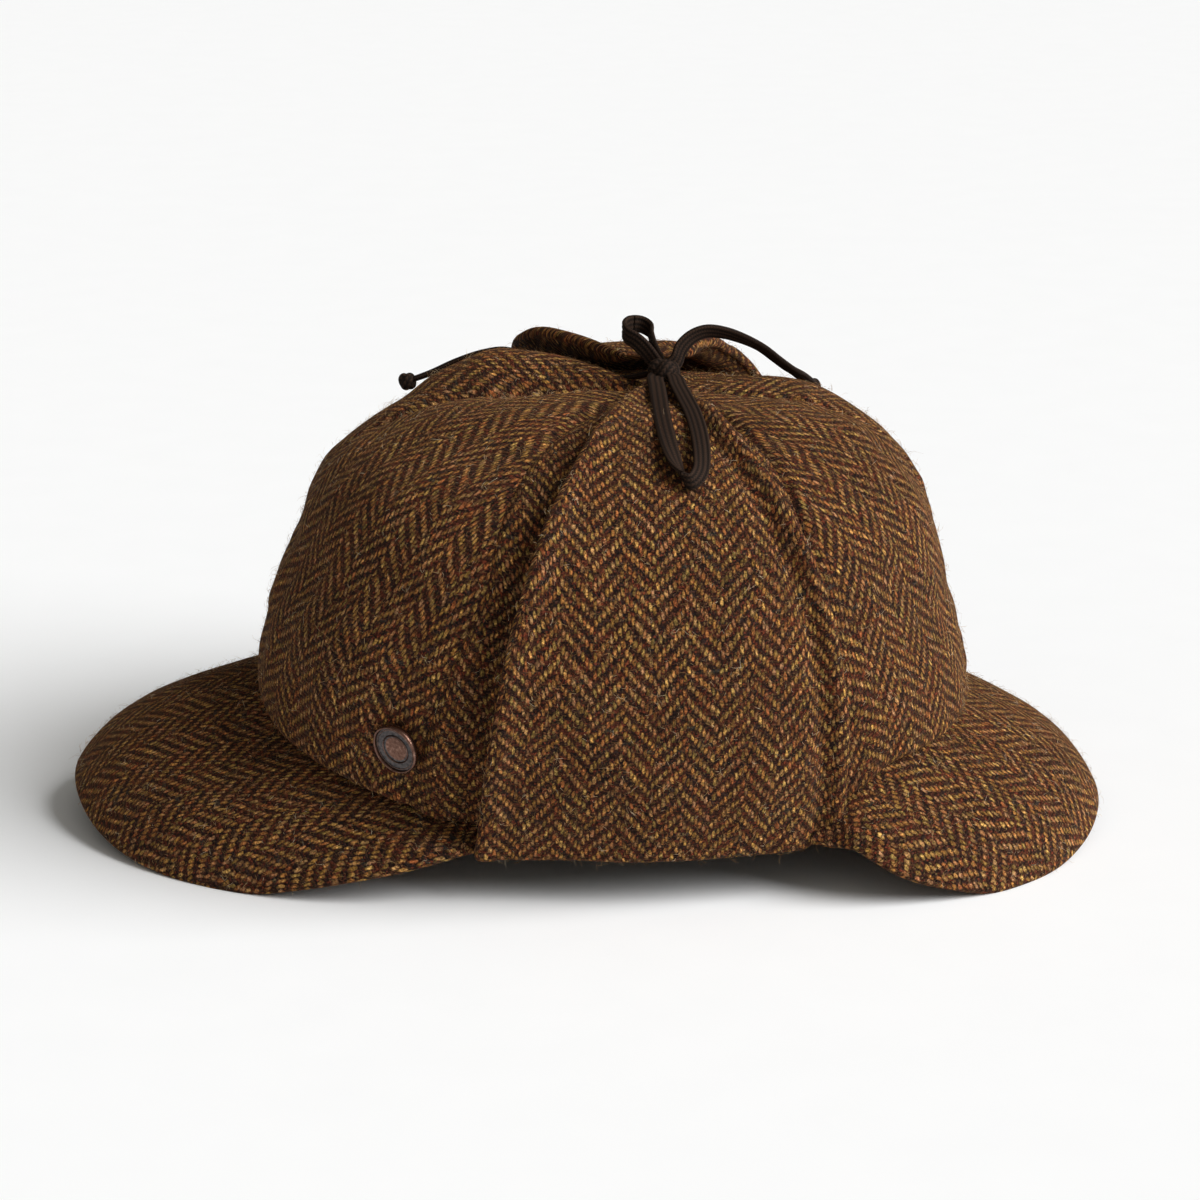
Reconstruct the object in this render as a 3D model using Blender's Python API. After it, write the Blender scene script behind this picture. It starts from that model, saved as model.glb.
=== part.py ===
"""Deerstalker hat in herringbone tweed, with the ear flaps turned up and tied over the crown.

Metres, +Z up. The hat rests on z = 0 on the rims of its two peaks, and the
front peak points to -X. The near side, with the stud, is -Y. Every sewn
piece is one closed solid, and a seam is the narrow gap between two of them.
Shares in the tables are of the named sizes just above them.
"""

import math

import bmesh
import bpy
import numpy as np
from mathutils import Matrix, Vector

# Crown
CROWN_HEIGHT = 0.1330
CROWN_HALF_LENGTH = 0.1055
CROWN_HALF_WIDTH = 0.0900
CROWN_SQUARENESS = 2.25
CROWN_WALL = 0.0020
APEX_SHIFT = 0.0115
APEX_SHIFT_CURVE = 1.5
APEX_OPEN = 0.985
SEAM_GAP = 0.0005
PUFF_DEPTH = 0.0108
PUFF_ROUNDNESS = 0.8

# Up a meridian of the crown, from the band to the apex
MERIDIAN_COLUMNS = ("at", "height", "front", "side", "back")
MERIDIAN = (
    (0.00, 0.105, 1.000, 0.925, 1.000),
    (0.10, 0.218, 1.030, 0.965, 1.020),
    (0.20, 0.331, 1.030, 1.000, 1.020),
    (0.30, 0.444, 1.016, 1.020, 0.997),
    (0.40, 0.556, 0.990, 1.020, 0.955),
    (0.50, 0.662, 0.935, 0.990, 0.932),
    (0.60, 0.759, 0.897, 0.935, 0.900),
    (0.69, 0.842, 0.835, 0.830, 0.832),
    (0.77, 0.906, 0.740, 0.700, 0.745),
    (0.84, 0.951, 0.620, 0.555, 0.630),
    (0.90, 0.981, 0.450, 0.390, 0.460),
    (0.95, 0.995, 0.250, 0.210, 0.260),
    (1.00, 1.000, 0.000, 0.000, 0.000),
)

# The crown's lower edge by azimuth from the back, as shares of its height
EDGE_COLUMNS = ("azimuth", "height")
EDGE = (
    (0.0, 0.300),
    (30.0, 0.280),
    (50.0, 0.240),
    (62.0, 0.155),
    (80.0, 0.135),
    (100.0, 0.135),
    (112.0, 0.165),
    (135.0, 0.235),
    (158.0, 0.290),
    (171.0, 0.350),
    (180.0, 0.370),
)

# The six gores: the seams they lie between, by number, and their puff as shares of PUFF_DEPTH
SEAM_AZIMUTHS = (0.0, 57.0, 110.0, 180.0, 250.0, 303.0, 360.0)
SEAM_SPLAY = (0.0, 0.0, 14.0, 0.0, -14.0, 0.0, 0.0)
SEAM_SPLAY_TOP = 0.55
PANEL_COLUMNS = ("name", "from_seam", "puff_top", "puff_foot")
PANELS = (
    ("crown_back_far", 0, 0.24, 0.10),
    ("crown_side_far", 1, 0.10, 0.10),
    ("crown_front_far", 2, 1.00, 0.30),
    ("crown_front_near", 3, 0.30, 0.30),
    ("crown_side_near", 4, 0.10, 0.10),
    ("crown_back_near", 5, 0.16, 0.10),
)
PUFF_TOP_AT = 0.90
PUFF_TOP_SPREAD = 0.075
PUFF_FOOT_AT = 0.33
PUFF_FOOT_SPREAD = 0.16
PANEL_STEPS_ACROSS = 10
PANEL_STEPS_UP = 17

# Peaks
PEAK_WALL = 0.0030
PEAK_GAP = 0.0005
PEAK_HALF_WIDTH = 0.0890
PEAK_SQUARENESS = 2.05
PEAK_ROW_CROWDING = 1.25
FRONT_REACH = 0.1700
BACK_REACH = 0.1515
FRONT_ROOT_HALF_ANGLE = 67.0
BACK_ROOT_HALF_ANGLE = 53.0
PEAK_TURNS = 28
PEAK_STEPS = 9

# Height of a peak's rim from its point (0) round to its corner (1); below 0 it lies flat
RIM_COLUMNS = ("turn", "height")
FRONT_RIM = (
    (0.00, 0.0120),
    (0.12, 0.0100),
    (0.28, 0.0045),
    (0.44, 0.0004),
    (0.55, -0.0008),
    (0.66, -0.0006),
    (0.77, 0.0038),
    (0.88, 0.0095),
    (1.00, 0.0160),
)
BACK_RIM = (
    (0.00, 0.0050),
    (0.15, 0.0040),
    (0.30, 0.0016),
    (0.44, -0.0004),
    (0.55, -0.0008),
    (0.66, -0.0006),
    (0.77, 0.0032),
    (0.88, 0.0085),
    (1.00, 0.0180),
)

# Rise of a peak from its rim (0) to the crown (1)
PEAK_RISE = ((0.0, 0.0), (0.05, 0.15), (0.15, 0.36), (0.30, 0.55), (0.50, 0.71), (0.75, 0.87), (1.0, 1.0))

# Ear flaps, as shares of the crown's half length, and their stand-off as shares of FLAP_LIFT
FLAP_WALL = 0.0030
FLAP_GAP = 0.0006
FLAP_LIFT = 0.0080
FLAP_TUCK = 0.0040
FLAP_STEPS_ACROSS = 9
FLAP_COLUMNS = ("at", "front", "back", "lift_front", "lift_middle", "lift_back")
FLAP_NEAR = (
    (0.03, -0.380, 0.612, 0.10, 0.05, 0.10),
    (0.12, -0.362, 0.617, 0.20, 0.08, 0.15),
    (0.22, -0.338, 0.614, 0.30, 0.10, 0.18),
    (0.32, -0.315, 0.604, 0.36, 0.12, 0.20),
    (0.42, -0.287, 0.580, 0.42, 0.12, 0.20),
    (0.52, -0.253, 0.548, 0.44, 0.12, 0.20),
    (0.61, -0.214, 0.505, 0.42, 0.10, 0.20),
    (0.69, -0.171, 0.455, 0.40, 0.08, 0.18),
    (0.77, -0.121, 0.398, 0.36, 0.06, 0.15),
    (0.84, -0.071, 0.336, 0.30, 0.04, 0.12),
    (0.90, -0.019, 0.275, 0.22, 0.02, 0.10),
    (0.95, 0.033, 0.205, 0.12, 0.00, 0.05),
    (0.99, 0.080, 0.140, 0.00, 0.00, 0.00),
)
FLAP_FAR = (
    (0.03, -0.380, 0.612, 0.10, 0.05, 0.10),
    (0.12, -0.362, 0.617, 0.20, 0.08, 0.15),
    (0.22, -0.338, 0.614, 0.30, 0.10, 0.18),
    (0.32, -0.315, 0.604, 0.36, 0.12, 0.20),
    (0.42, -0.290, 0.580, 0.42, 0.12, 0.20),
    (0.52, -0.270, 0.548, 0.44, 0.14, 0.20),
    (0.61, -0.265, 0.505, 0.46, 0.18, 0.24),
    (0.69, -0.270, 0.470, 0.50, 0.24, 0.32),
    (0.77, -0.290, 0.405, 0.56, 0.34, 0.45),
    (0.84, -0.300, 0.350, 0.55, 0.44, 0.72),
    (0.90, -0.240, 0.300, 0.50, 0.54, 0.96),
    (0.94, -0.120, 0.250, 0.58, 0.62, 0.85),
    (0.97, 0.010, 0.205, 0.56, 0.58, 0.55),
)

# Tie of flat braid, knotted over the apex
BRAID_WIDTH = 0.0060
BRAID_THICKNESS = 0.0014
BRAID_POINT_SPACING = 0.0046
KNOT_PLACE = (0.0236, -0.0034)
KNOT_ABOVE = 0.0067
KNOT_HALF_SIZE = (0.0037, 0.0038, 0.0027)
END_KNOT_RADIUS = 0.0028
END_KNOT_GAP = 0.0003

# The routes of the braid, each point chosen by hand: its height above the crown's top, its tilt in degrees
ROUTE_COLUMNS = ("x", "y", "above", "tilt")
LOOP_NEAR = (
    (0.0210, -0.0077, 0.0058, 80),
    (0.0212, -0.0160, 0.0052, 86),
    (0.0216, -0.0280, 0.0043, 90),
    (0.0222, -0.0400, 0.0024, 90),
    (0.0232, -0.0510, -0.0002, 88),
    (0.0246, -0.0600, -0.0034, 78),
    (0.0266, -0.0680, -0.0068, 50),
    (0.0300, -0.0728, -0.0094, 8),
    (0.0334, -0.0690, -0.0074, -46),
    (0.0342, -0.0610, -0.0039, -76),
    (0.0338, -0.0510, -0.0002, -88),
    (0.0326, -0.0400, 0.0026, -90),
    (0.0306, -0.0280, 0.0044, -90),
    (0.0290, -0.0160, 0.0053, -86),
    (0.0278, -0.0072, 0.0059, -80),
)
LOOP_FAR = (
    (0.0210, -0.0010, 0.0090, 0),
    (0.0182, 0.0006, 0.0122, 0),
    (0.0152, 0.0018, 0.0150, 0),
    (0.0126, 0.0036, 0.0162, 0),
    (0.0116, 0.0066, 0.0177, 0),
    (0.0132, 0.0100, 0.0184, 0),
    (0.0166, 0.0118, 0.0180, 0),
    (0.0194, 0.0104, 0.0166, 0),
    (0.0200, 0.0076, 0.0144, 0),
    (0.0206, 0.0052, 0.0124, 0),
    (0.0216, 0.0030, 0.0100, 0),
    (0.0228, 0.0010, 0.0082, 0),
)
END_BACK = (
    (0.0270, -0.0022, 0.0094, 0),
    (0.0288, -0.0008, 0.0134, 0),
    (0.0320, 0.0010, 0.0164, 15),
    (0.0364, 0.0030, 0.0177, 30),
    (0.0420, 0.0054, 0.0167, 45),
    (0.0480, 0.0084, 0.0141, 60),
    (0.0536, 0.0120, 0.0106, 75),
    (0.0584, 0.0162, 0.0062, 85),
    (0.0624, 0.0216, 0.0022, 90),
    (0.0658, 0.0286, -0.0012, 90),
    (0.0686, 0.0364, -0.0048, 90),
    (0.0708, 0.0436, -0.0084, 90),
)
END_FRONT = (
    (0.0200, 0.0002, 0.0056, 95),
    (0.0140, 0.0050, 0.0050, 102),
    (0.0070, 0.0110, 0.0052, 105),
    (-0.0010, 0.0180, 0.0058, 107),
    (-0.0090, 0.0250, 0.0064, 109),
    (-0.0170, 0.0310, 0.0062, 112),
    (-0.0250, 0.0345, 0.0056, 116),
    (-0.0330, 0.0355, 0.0034, 120),
    (-0.0410, 0.0350, 0.0008, 120),
    (-0.0480, 0.0336, -0.0020, 118),
    (-0.0532, 0.0320, -0.0036, 115),
)

# Stud on the near front panel, turned: radius and height as shares of its own two sizes
STUD_RADIUS = 0.0077
STUD_THICKNESS = 0.0024
STUD_GAP = 0.0003
STUD_AZIMUTH = 237.5
STUD_AT = 0.217
STUD_TURNS = 28
STUD_PROFILE = (
    (0.00, 0.00),
    (0.90, 0.00),
    (1.00, 0.30),
    (1.00, 0.75),
    (0.93, 1.00),
    (0.84, 0.95),
    (0.80, 0.62),
    (0.46, 0.62),
    (0.42, 0.80),
    (0.36, 0.80),
    (0.32, 0.50),
    (0.00, 0.50),
)

# The origin is under the middle of the two peaks
CROWN_CENTRE_X = (FRONT_REACH - BACK_REACH) / 2


def remove_everything():
    for thing in list(bpy.data.objects):
        bpy.data.objects.remove(thing, do_unlink=True)


def material(name, colour, roughness, metallic=0.0):
    """A plain Principled material."""
    made = bpy.data.materials.get(name) or bpy.data.materials.new(name)
    made.use_nodes = True
    shader = made.node_tree.nodes["Principled BSDF"]
    shader.inputs["Base Color"].default_value = (*colour, 1.0)
    shader.inputs["Roughness"].default_value = roughness
    shader.inputs["Metallic"].default_value = metallic
    made.diffuse_color = (*colour, 1.0)
    return made


def read_table(rows, at):
    """A smooth value for each column of a table whose first column is where."""
    table = np.array(rows, dtype=float)
    where = table[:, 0]
    slopes = np.gradient(table, where, axis=0)
    at = min(max(at, where[0]), where[-1])
    row = int(np.clip(np.searchsorted(where, at) - 1, 0, len(where) - 2))
    span = where[row + 1] - where[row]
    s = (at - where[row]) / span
    return ((2 * s**3 - 3 * s**2 + 1) * table[row]
            + (s**3 - 2 * s**2 + s) * span * slopes[row]
            + (3 * s**2 - 2 * s**3) * table[row + 1]
            + (s**3 - s**2) * span * slopes[row + 1])


def signed_power(value, exponent):
    return math.copysign(abs(value) ** exponent, value)


def crown_centre(at):
    """The section's centre, which moves back to the apex over the flat top."""
    _, _, front, side, back = read_table(MERIDIAN, at)
    spread = max(0.0, min(1.0, (front + 2 * side + back) / 4))
    return APEX_SHIFT * (1 - spread) ** APEX_SHIFT_CURVE


def smooth_crown_point(azimuth, at):
    """A point of the crown before its panels puff, azimuth in radians from the back."""
    _, height, front, side, back = read_table(MERIDIAN, at)
    across = math.cos(azimuth)
    length = CROWN_HALF_LENGTH * (front if across < 0 else back)
    x = crown_centre(at) + length * signed_power(across, 2 / CROWN_SQUARENESS)
    y = CROWN_HALF_WIDTH * side * signed_power(math.sin(azimuth), 2 / CROWN_SQUARENESS)
    return Vector((x, y, CROWN_HEIGHT * height))


def crown_normal(azimuth, at, small=0.004):
    """The outward normal of the smooth crown."""
    at = min(at, 1 - 2 * small)
    turned = smooth_crown_point(azimuth + small, at) - smooth_crown_point(azimuth - small, at)
    risen = smooth_crown_point(azimuth, at + small) - smooth_crown_point(azimuth, at - small)
    return turned.cross(risen).normalized()


def seam_azimuth(number, at):
    """A seam's azimuth in degrees: the front side seams lean forward towards the band."""
    return SEAM_AZIMUTHS[number] + SEAM_SPLAY[number] * max(0.0, 1 - at / SEAM_SPLAY_TOP)


def puff_at(azimuth, at):
    """How far the panel at this azimuth swells out between its seams."""
    degrees = math.degrees(azimuth) % 360
    for _, seam, puff_top, puff_foot in PANELS:
        start = seam_azimuth(seam, at)
        end = seam_azimuth(seam + 1, at)
        if start <= degrees <= end:
            across = math.sin(math.pi * (degrees - start) / (end - start)) ** PUFF_ROUNDNESS
            top = puff_top * math.exp(-((at - PUFF_TOP_AT) / PUFF_TOP_SPREAD) ** 2)
            foot = puff_foot * math.exp(-((at - PUFF_FOOT_AT) / PUFF_FOOT_SPREAD) ** 2)
            return PUFF_DEPTH * across * (top + foot)
    return 0.0


def crown_point(azimuth, at, out=0.0):
    """A point on the crown's outer face, or a distance out from it."""
    swell = puff_at(azimuth, at)
    return smooth_crown_point(azimuth, at) + crown_normal(azimuth, at) * (swell + out)


def cloth_normal(azimuth, at, small=0.01):
    """The outward normal of the crown with its panels puffed."""
    turned = crown_point(azimuth + small, at) - crown_point(azimuth - small, at)
    risen = crown_point(azimuth, at + small) - crown_point(azimuth, at - small)
    return turned.cross(risen).normalized()


def crown_edge_at(azimuth):
    """Where on a meridian the crown's lower edge lies."""
    degrees = abs((math.degrees(azimuth) + 180) % 360 - 180)
    height = read_table(EDGE, degrees)[1]
    rows = np.array(MERIDIAN)
    return float(np.interp(height, rows[:, 1], rows[:, 0]))


def add_solid(name, mesh_data, look):
    """Put a bmesh into the scene under the crown's own place."""
    bmesh.ops.translate(mesh_data, verts=mesh_data.verts, vec=(CROWN_CENTRE_X, 0, 0))
    bmesh.ops.recalc_face_normals(mesh_data, faces=mesh_data.faces)
    mesh = bpy.data.meshes.new(name)
    mesh_data.to_mesh(mesh)
    mesh_data.free()
    mesh.materials.append(look)
    mesh.shade_smooth()
    mesh.set_sharp_from_angle(angle=math.radians(50))
    made = bpy.data.objects.new(name, mesh)
    bpy.context.scene.collection.objects.link(made)
    return made


def cloth_panel(rows, wall):
    """A closed panel: the given outer skin, an inner one a wall behind it, and the rim."""
    made = bmesh.new()
    outer = [[made.verts.new(point) for point in row] for row in rows]
    last_row, last_column = len(rows) - 1, len(rows[0]) - 1
    for i in range(last_row):
        for j in range(last_column):
            made.faces.new((outer[i][j], outer[i][j + 1], outer[i + 1][j + 1], outer[i + 1][j]))
    made.normal_update()
    inner = [[made.verts.new(vert.co - vert.normal * wall) for vert in row] for row in outer]
    for i in range(last_row):
        for j in range(last_column):
            made.faces.new((inner[i + 1][j], inner[i + 1][j + 1], inner[i][j + 1], inner[i][j]))
    rim = [(0, j) for j in range(last_column)]
    rim += [(i, last_column) for i in range(last_row)]
    rim += [(last_row, j) for j in range(last_column, 0, -1)]
    rim += [(i, 0) for i in range(last_row, 0, -1)]
    for (i, j), (k, m) in zip(rim, rim[1:] + rim[:1]):
        made.faces.new((outer[k][m], outer[i][j], inner[i][j], inner[k][m]))
    return made, inner


def crown_panel(name, seam, look):
    """One gore of the crown, from the lower edge to the apex."""
    rows = []
    for i in range(PANEL_STEPS_UP + 1):
        share = i / PANEL_STEPS_UP
        row = []
        for j in range(PANEL_STEPS_ACROSS + 1):
            at = 0.0
            for _ in range(4):
                start = seam_azimuth(seam, at)
                end = seam_azimuth(seam + 1, at)
                azimuth = math.radians(start + (end - start) * j / PANEL_STEPS_ACROSS)
                foot = crown_edge_at(azimuth)
                at = foot + (APEX_OPEN - foot) * share
            if j in (0, PANEL_STEPS_ACROSS):
                here = smooth_crown_point(azimuth, at)
                radius = math.hypot(here.x - crown_centre(at), here.y)
                azimuth += math.copysign(SEAM_GAP / 2 / radius, 0.5 - j)
            row.append(crown_point(azimuth, at))
        rows.append(row)
    made, _ = cloth_panel(rows, CROWN_WALL)
    return add_solid(name, made, look)


def peak(name, middle, corner, reach, rim_table, look):
    """A peak round one end of the crown, from the floor up to the crown's lower edge.

    middle is the azimuth of its point and corner the half angle of its root.
    """
    ahead = math.cos(middle)
    root_corner = crown_point(middle + corner, crown_edge_at(middle + corner))
    run = reach - abs(root_corner.x)
    rows = []
    for i in range(PEAK_STEPS + 1):
        share = (i / PEAK_STEPS) ** PEAK_ROW_CROWDING
        rise = read_table(PEAK_RISE, share)[1]
        row = []
        for j in range(PEAK_TURNS + 1):
            turn = 2 * j / PEAK_TURNS - 1
            azimuth = middle + corner * turn
            root = crown_point(azimuth, crown_edge_at(azimuth)) - Vector((0, 0, PEAK_GAP))
            angle = math.pi / 2 * turn
            along = math.cos(angle) ** (2 / PEAK_SQUARENESS) if j not in (0, PEAK_TURNS) else 0.0
            side = signed_power(math.sin(angle), 2 / PEAK_SQUARENESS)
            rim_height = read_table(rim_table, abs(turn))[1]
            rim = Vector((ahead * (abs(root_corner.x) + run * along),
                          ahead * PEAK_HALF_WIDTH * side, rim_height))
            flat = rim.lerp(root, share)
            row.append(Vector((flat.x, flat.y, rim.z + (root.z - rim.z) * rise)))
        rows.append(row)
    made, _ = cloth_panel(rows, PEAK_WALL)
    for vert in made.verts:
        vert.co.z = max(vert.co.z, 0.0)
    return add_solid(name, made, look)


def azimuth_at_x(x, at):
    """The azimuth on the far side of the crown where a meridian share has this x."""
    _, _, front, _, back = read_table(MERIDIAN, at)
    off = x - crown_centre(at)
    length = CROWN_HALF_LENGTH * (front if off < 0 else back)
    share = max(-1.0, min(1.0, off / length))
    return math.acos(signed_power(share, CROWN_SQUARENESS / 2))


def ear_flap(name, side, table, look):
    """An ear flap turned up against the crown: side is 1 for the far one, -1 for the near one."""
    def outer_point(at, across, below=0.0):
        _, front, back, lift_front, lift_middle, lift_back = read_table(table, at)
        x = CROWN_HALF_LENGTH * (front + (back - front) * across)
        azimuth = side * azimuth_at_x(x, at)
        lift = (lift_middle + (lift_front - lift_middle) * (1 - across) ** 4
                + (lift_back - lift_middle) * across ** 4)
        out = FLAP_GAP + FLAP_WALL + FLAP_LIFT * lift
        return crown_point(azimuth, at, out), azimuth

    rows = []
    for bend in (1.0, 0.62, 0.28):
        row = []
        for j in range(FLAP_STEPS_ACROSS + 1):
            point, azimuth = outer_point(table[0][0], j / FLAP_STEPS_ACROSS)
            normal = crown_normal(azimuth, table[0][0])
            turn = bend * math.pi / 2
            radius = FLAP_TUCK
            point = point - normal * radius * (1 - math.cos(turn)) - Vector((0, 0, radius * math.sin(turn)))
            row.append(point)
        rows.append(row)
    for line in table:
        rows.append([outer_point(line[0], j / FLAP_STEPS_ACROSS)[0] for j in range(FLAP_STEPS_ACROSS + 1)])
    if side > 0:
        rows = [row[::-1] for row in rows]
    made, _ = cloth_panel(rows, FLAP_WALL)
    return add_solid(name, made, look)


def smooth_route(route):
    """Points at an even spacing on a smooth curve through a route's own points."""
    points = [np.array((x, y, CROWN_HEIGHT + above, tilt)) for x, y, above, tilt in route]
    ends = [2 * points[0] - points[1]] + points + [2 * points[-1] - points[-2]]
    dense = []
    for before, start, end, after in zip(ends, ends[1:], ends[2:], ends[3:]):
        for step in range(12):
            s = step / 12
            dense.append(0.5 * (2 * start + (end - before) * s
                                + (2 * before - 5 * start + 4 * end - after) * s**2
                                + (3 * start - before - 3 * end + after) * s**3))
    dense.append(points[-1])
    dense = np.array(dense)
    along = np.concatenate(([0.0], np.cumsum(np.linalg.norm(np.diff(dense[:, :3], axis=0), axis=1))))
    count = round(along[-1] / BRAID_POINT_SPACING) + 1
    places = np.linspace(0.0, along[-1], count)
    return [[float(np.interp(place, along, dense[:, k])) for k in range(4)] for place in places]


def braid(name, route, look):
    """A stretch of the flat braid."""
    curve = bpy.data.curves.new(name, "CURVE")
    curve.dimensions = "3D"
    curve.fill_mode = "FULL"
    curve.twist_mode = "Z_UP"
    curve.bevel_depth = BRAID_THICKNESS / 2
    curve.bevel_resolution = 0
    curve.extrude = BRAID_WIDTH / 2 - BRAID_THICKNESS / 2
    curve.use_fill_caps = True
    places = smooth_route(route)
    spline = curve.splines.new("POLY")
    spline.points.add(len(places) - 1)
    for point, (x, y, z, tilt) in zip(spline.points, places):
        point.co = (x, y, z, 1.0)
        point.tilt = math.radians(tilt)
    curve.materials.append(look)
    made = bpy.data.objects.new(name, curve)
    bpy.context.scene.collection.objects.link(made)
    return made


def ball(name, centre, half_size, turns, rings, look):
    """A small rounded knot."""
    made = bmesh.new()
    bmesh.ops.create_uvsphere(made, u_segments=turns, v_segments=rings, radius=1.0)
    bmesh.ops.scale(made, vec=half_size, verts=made.verts)
    bmesh.ops.translate(made, vec=Vector(centre) - Vector((CROWN_CENTRE_X, 0, 0)), verts=made.verts)
    return add_solid(name, made, look)


def end_knot(name, route, look):
    """The small knot at the free end of a stretch."""
    places = smooth_route(route)
    end = Vector(places[-1][:3])
    ahead = (end - Vector(places[-2][:3])).normalized()
    centre = end + ahead * (END_KNOT_RADIUS + END_KNOT_GAP)
    return ball(name, centre, (END_KNOT_RADIUS,) * 3, 12, 8, look)


def stud(look):
    """The round stud, turned about the cloth's normal and set just off the cloth."""
    azimuth = math.radians(STUD_AZIMUTH)
    normal = cloth_normal(azimuth, STUD_AT)
    seat = crown_point(azimuth, STUD_AT) + normal * STUD_GAP
    made = bmesh.new()
    profile = [made.verts.new((STUD_RADIUS * radius, 0.0, STUD_THICKNESS * height))
               for radius, height in STUD_PROFILE]
    edges = [made.edges.new(pair) for pair in zip(profile, profile[1:])]
    bmesh.ops.spin(made, geom=profile + edges, cent=(0, 0, 0), axis=(0, 0, 1),
                   angle=2 * math.pi, steps=STUD_TURNS, use_duplicate=False)
    bmesh.ops.remove_doubles(made, verts=made.verts, dist=1e-6)
    turn = Vector((0, 0, 1)).rotation_difference(normal).to_matrix().to_4x4()
    made.transform(Matrix.Translation(seat) @ turn)
    return add_solid("stud", made, look)


def build():
    remove_everything()
    tweed = material("tweed", (0.165, 0.112, 0.062), 0.92)
    braided = material("braid", (0.046, 0.030, 0.021), 0.75)
    copper = material("aged_copper", (0.42, 0.24, 0.16), 0.38, 1.0)
    for name, seam, _, _ in PANELS:
        crown_panel(name, seam, tweed)
    peak("front_peak", math.pi, math.radians(FRONT_ROOT_HALF_ANGLE), FRONT_REACH, FRONT_RIM, tweed)
    peak("back_peak", 0.0, math.radians(BACK_ROOT_HALF_ANGLE), BACK_REACH, BACK_RIM, tweed)
    ear_flap("ear_flap_near", -1, FLAP_NEAR, tweed)
    ear_flap("ear_flap_far", 1, FLAP_FAR, tweed)
    knot_centre = (*KNOT_PLACE, CROWN_HEIGHT + KNOT_ABOVE)
    ball("tie_knot", knot_centre, KNOT_HALF_SIZE, 16, 10, braided)
    braid("tie_loop_near", LOOP_NEAR, braided)
    braid("tie_loop_far", LOOP_FAR, braided)
    braid("tie_end_back", END_BACK, braided)
    end_knot("tie_end_knot_back", END_BACK, braided)
    braid("tie_end_front", END_FRONT, braided)
    end_knot("tie_end_knot_front", END_FRONT, braided)
    stud(copper)


build()
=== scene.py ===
"""Deerstalker hat in herringbone tweed: the looks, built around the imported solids.

Metres, +Z up, the front peak to -X and the near side to -Y. The crown, the
peaks and the ear flaps follow the same surfaces as the solids that they
replace, with the folds, seams and turned edges of sewn cloth added.
"""

import math
from functools import partialmethod

import bmesh
import bpy
import numpy as np
from mathutils import Matrix, Vector


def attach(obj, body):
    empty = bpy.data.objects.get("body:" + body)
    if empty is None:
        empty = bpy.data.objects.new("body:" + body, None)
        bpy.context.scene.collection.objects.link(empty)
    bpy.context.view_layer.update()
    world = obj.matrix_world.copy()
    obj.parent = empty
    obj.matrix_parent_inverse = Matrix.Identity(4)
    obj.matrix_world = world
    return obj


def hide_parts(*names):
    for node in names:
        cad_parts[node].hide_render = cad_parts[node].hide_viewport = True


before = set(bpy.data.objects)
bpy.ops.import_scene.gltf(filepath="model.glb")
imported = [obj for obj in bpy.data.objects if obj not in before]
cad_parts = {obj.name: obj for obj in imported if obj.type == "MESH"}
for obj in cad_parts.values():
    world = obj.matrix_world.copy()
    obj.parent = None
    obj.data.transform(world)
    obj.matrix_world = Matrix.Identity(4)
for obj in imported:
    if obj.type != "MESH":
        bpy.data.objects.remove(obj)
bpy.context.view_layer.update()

# Camera, at the photograph's viewing angle
LENS = 100.0
VIEW_ELEVATION = math.radians(17.0)
VIEW_DISTANCE = 1.03
VIEW_TARGET = Vector((0.00425, 0.0, 0.06664))

# Crown, as in the solids
CROWN_CENTRE_X = 0.00925
CROWN_HEIGHT = 0.1330
CROWN_HALF_LENGTH = 0.1055
CROWN_HALF_WIDTH = 0.0900
CROWN_SQUARENESS = 2.25
APEX_SHIFT = 0.0115
APEX_OPEN = 0.992
PUFF_DEPTH = 0.0108
MERIDIAN = (
    (0.00, 0.105, 1.000, 0.925, 1.000),
    (0.10, 0.218, 1.030, 0.965, 1.020),
    (0.20, 0.331, 1.030, 1.000, 1.020),
    (0.30, 0.444, 1.016, 1.020, 0.997),
    (0.40, 0.556, 0.990, 1.020, 0.955),
    (0.50, 0.662, 0.935, 0.990, 0.932),
    (0.60, 0.759, 0.897, 0.935, 0.900),
    (0.69, 0.842, 0.835, 0.830, 0.832),
    (0.77, 0.906, 0.740, 0.700, 0.745),
    (0.84, 0.951, 0.620, 0.555, 0.630),
    (0.90, 0.981, 0.450, 0.390, 0.460),
    (0.95, 0.995, 0.250, 0.210, 0.260),
    (1.00, 1.000, 0.000, 0.000, 0.000),
)
EDGE = (
    (0.0, 0.300), (30.0, 0.280), (50.0, 0.240), (62.0, 0.155), (80.0, 0.135), (100.0, 0.135),
    (112.0, 0.165), (135.0, 0.235), (158.0, 0.290), (171.0, 0.350), (180.0, 0.370),
)
SEAM_AZIMUTHS = (0.0, 57.0, 110.0, 180.0, 250.0, 303.0, 360.0)
SEAM_SPLAY = (0.0, 0.0, 14.0, 0.0, -14.0, 0.0, 0.0)
SEAM_SPLAY_TOP = 0.55

# The six gores: first seam, puff as shares of PUFF_DEPTH, and the turn of the weave in degrees
GORES = (
    ("crown_back_far", 0, 0.24, 0.10, 10.0),
    ("crown_side_far", 1, 0.10, 0.10, 0.0),
    ("crown_front_far", 2, 1.00, 0.30, -5.0),
    ("crown_front_near", 3, 0.30, 0.30, 5.0),
    ("crown_side_near", 4, 0.10, 0.10, 0.0),
    ("crown_back_near", 5, 0.16, 0.10, -10.0),
)
PUFF_TOP_AT = 0.90
PUFF_TOP_SPREAD = 0.075
PUFF_FOOT_AT = 0.33
PUFF_FOOT_SPREAD = 0.16
CROWN_WALL = 0.0018
GORE_COLUMNS = 64
GORE_ROWS = 96
SEAM_WIDTH = 0.0018
SEAM_DEPTH = 0.0011
PUCKER_DEPTH = 0.00028
PUCKER_REACH = 0.0080
FOOT_OVERHANG = 0.0012
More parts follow.
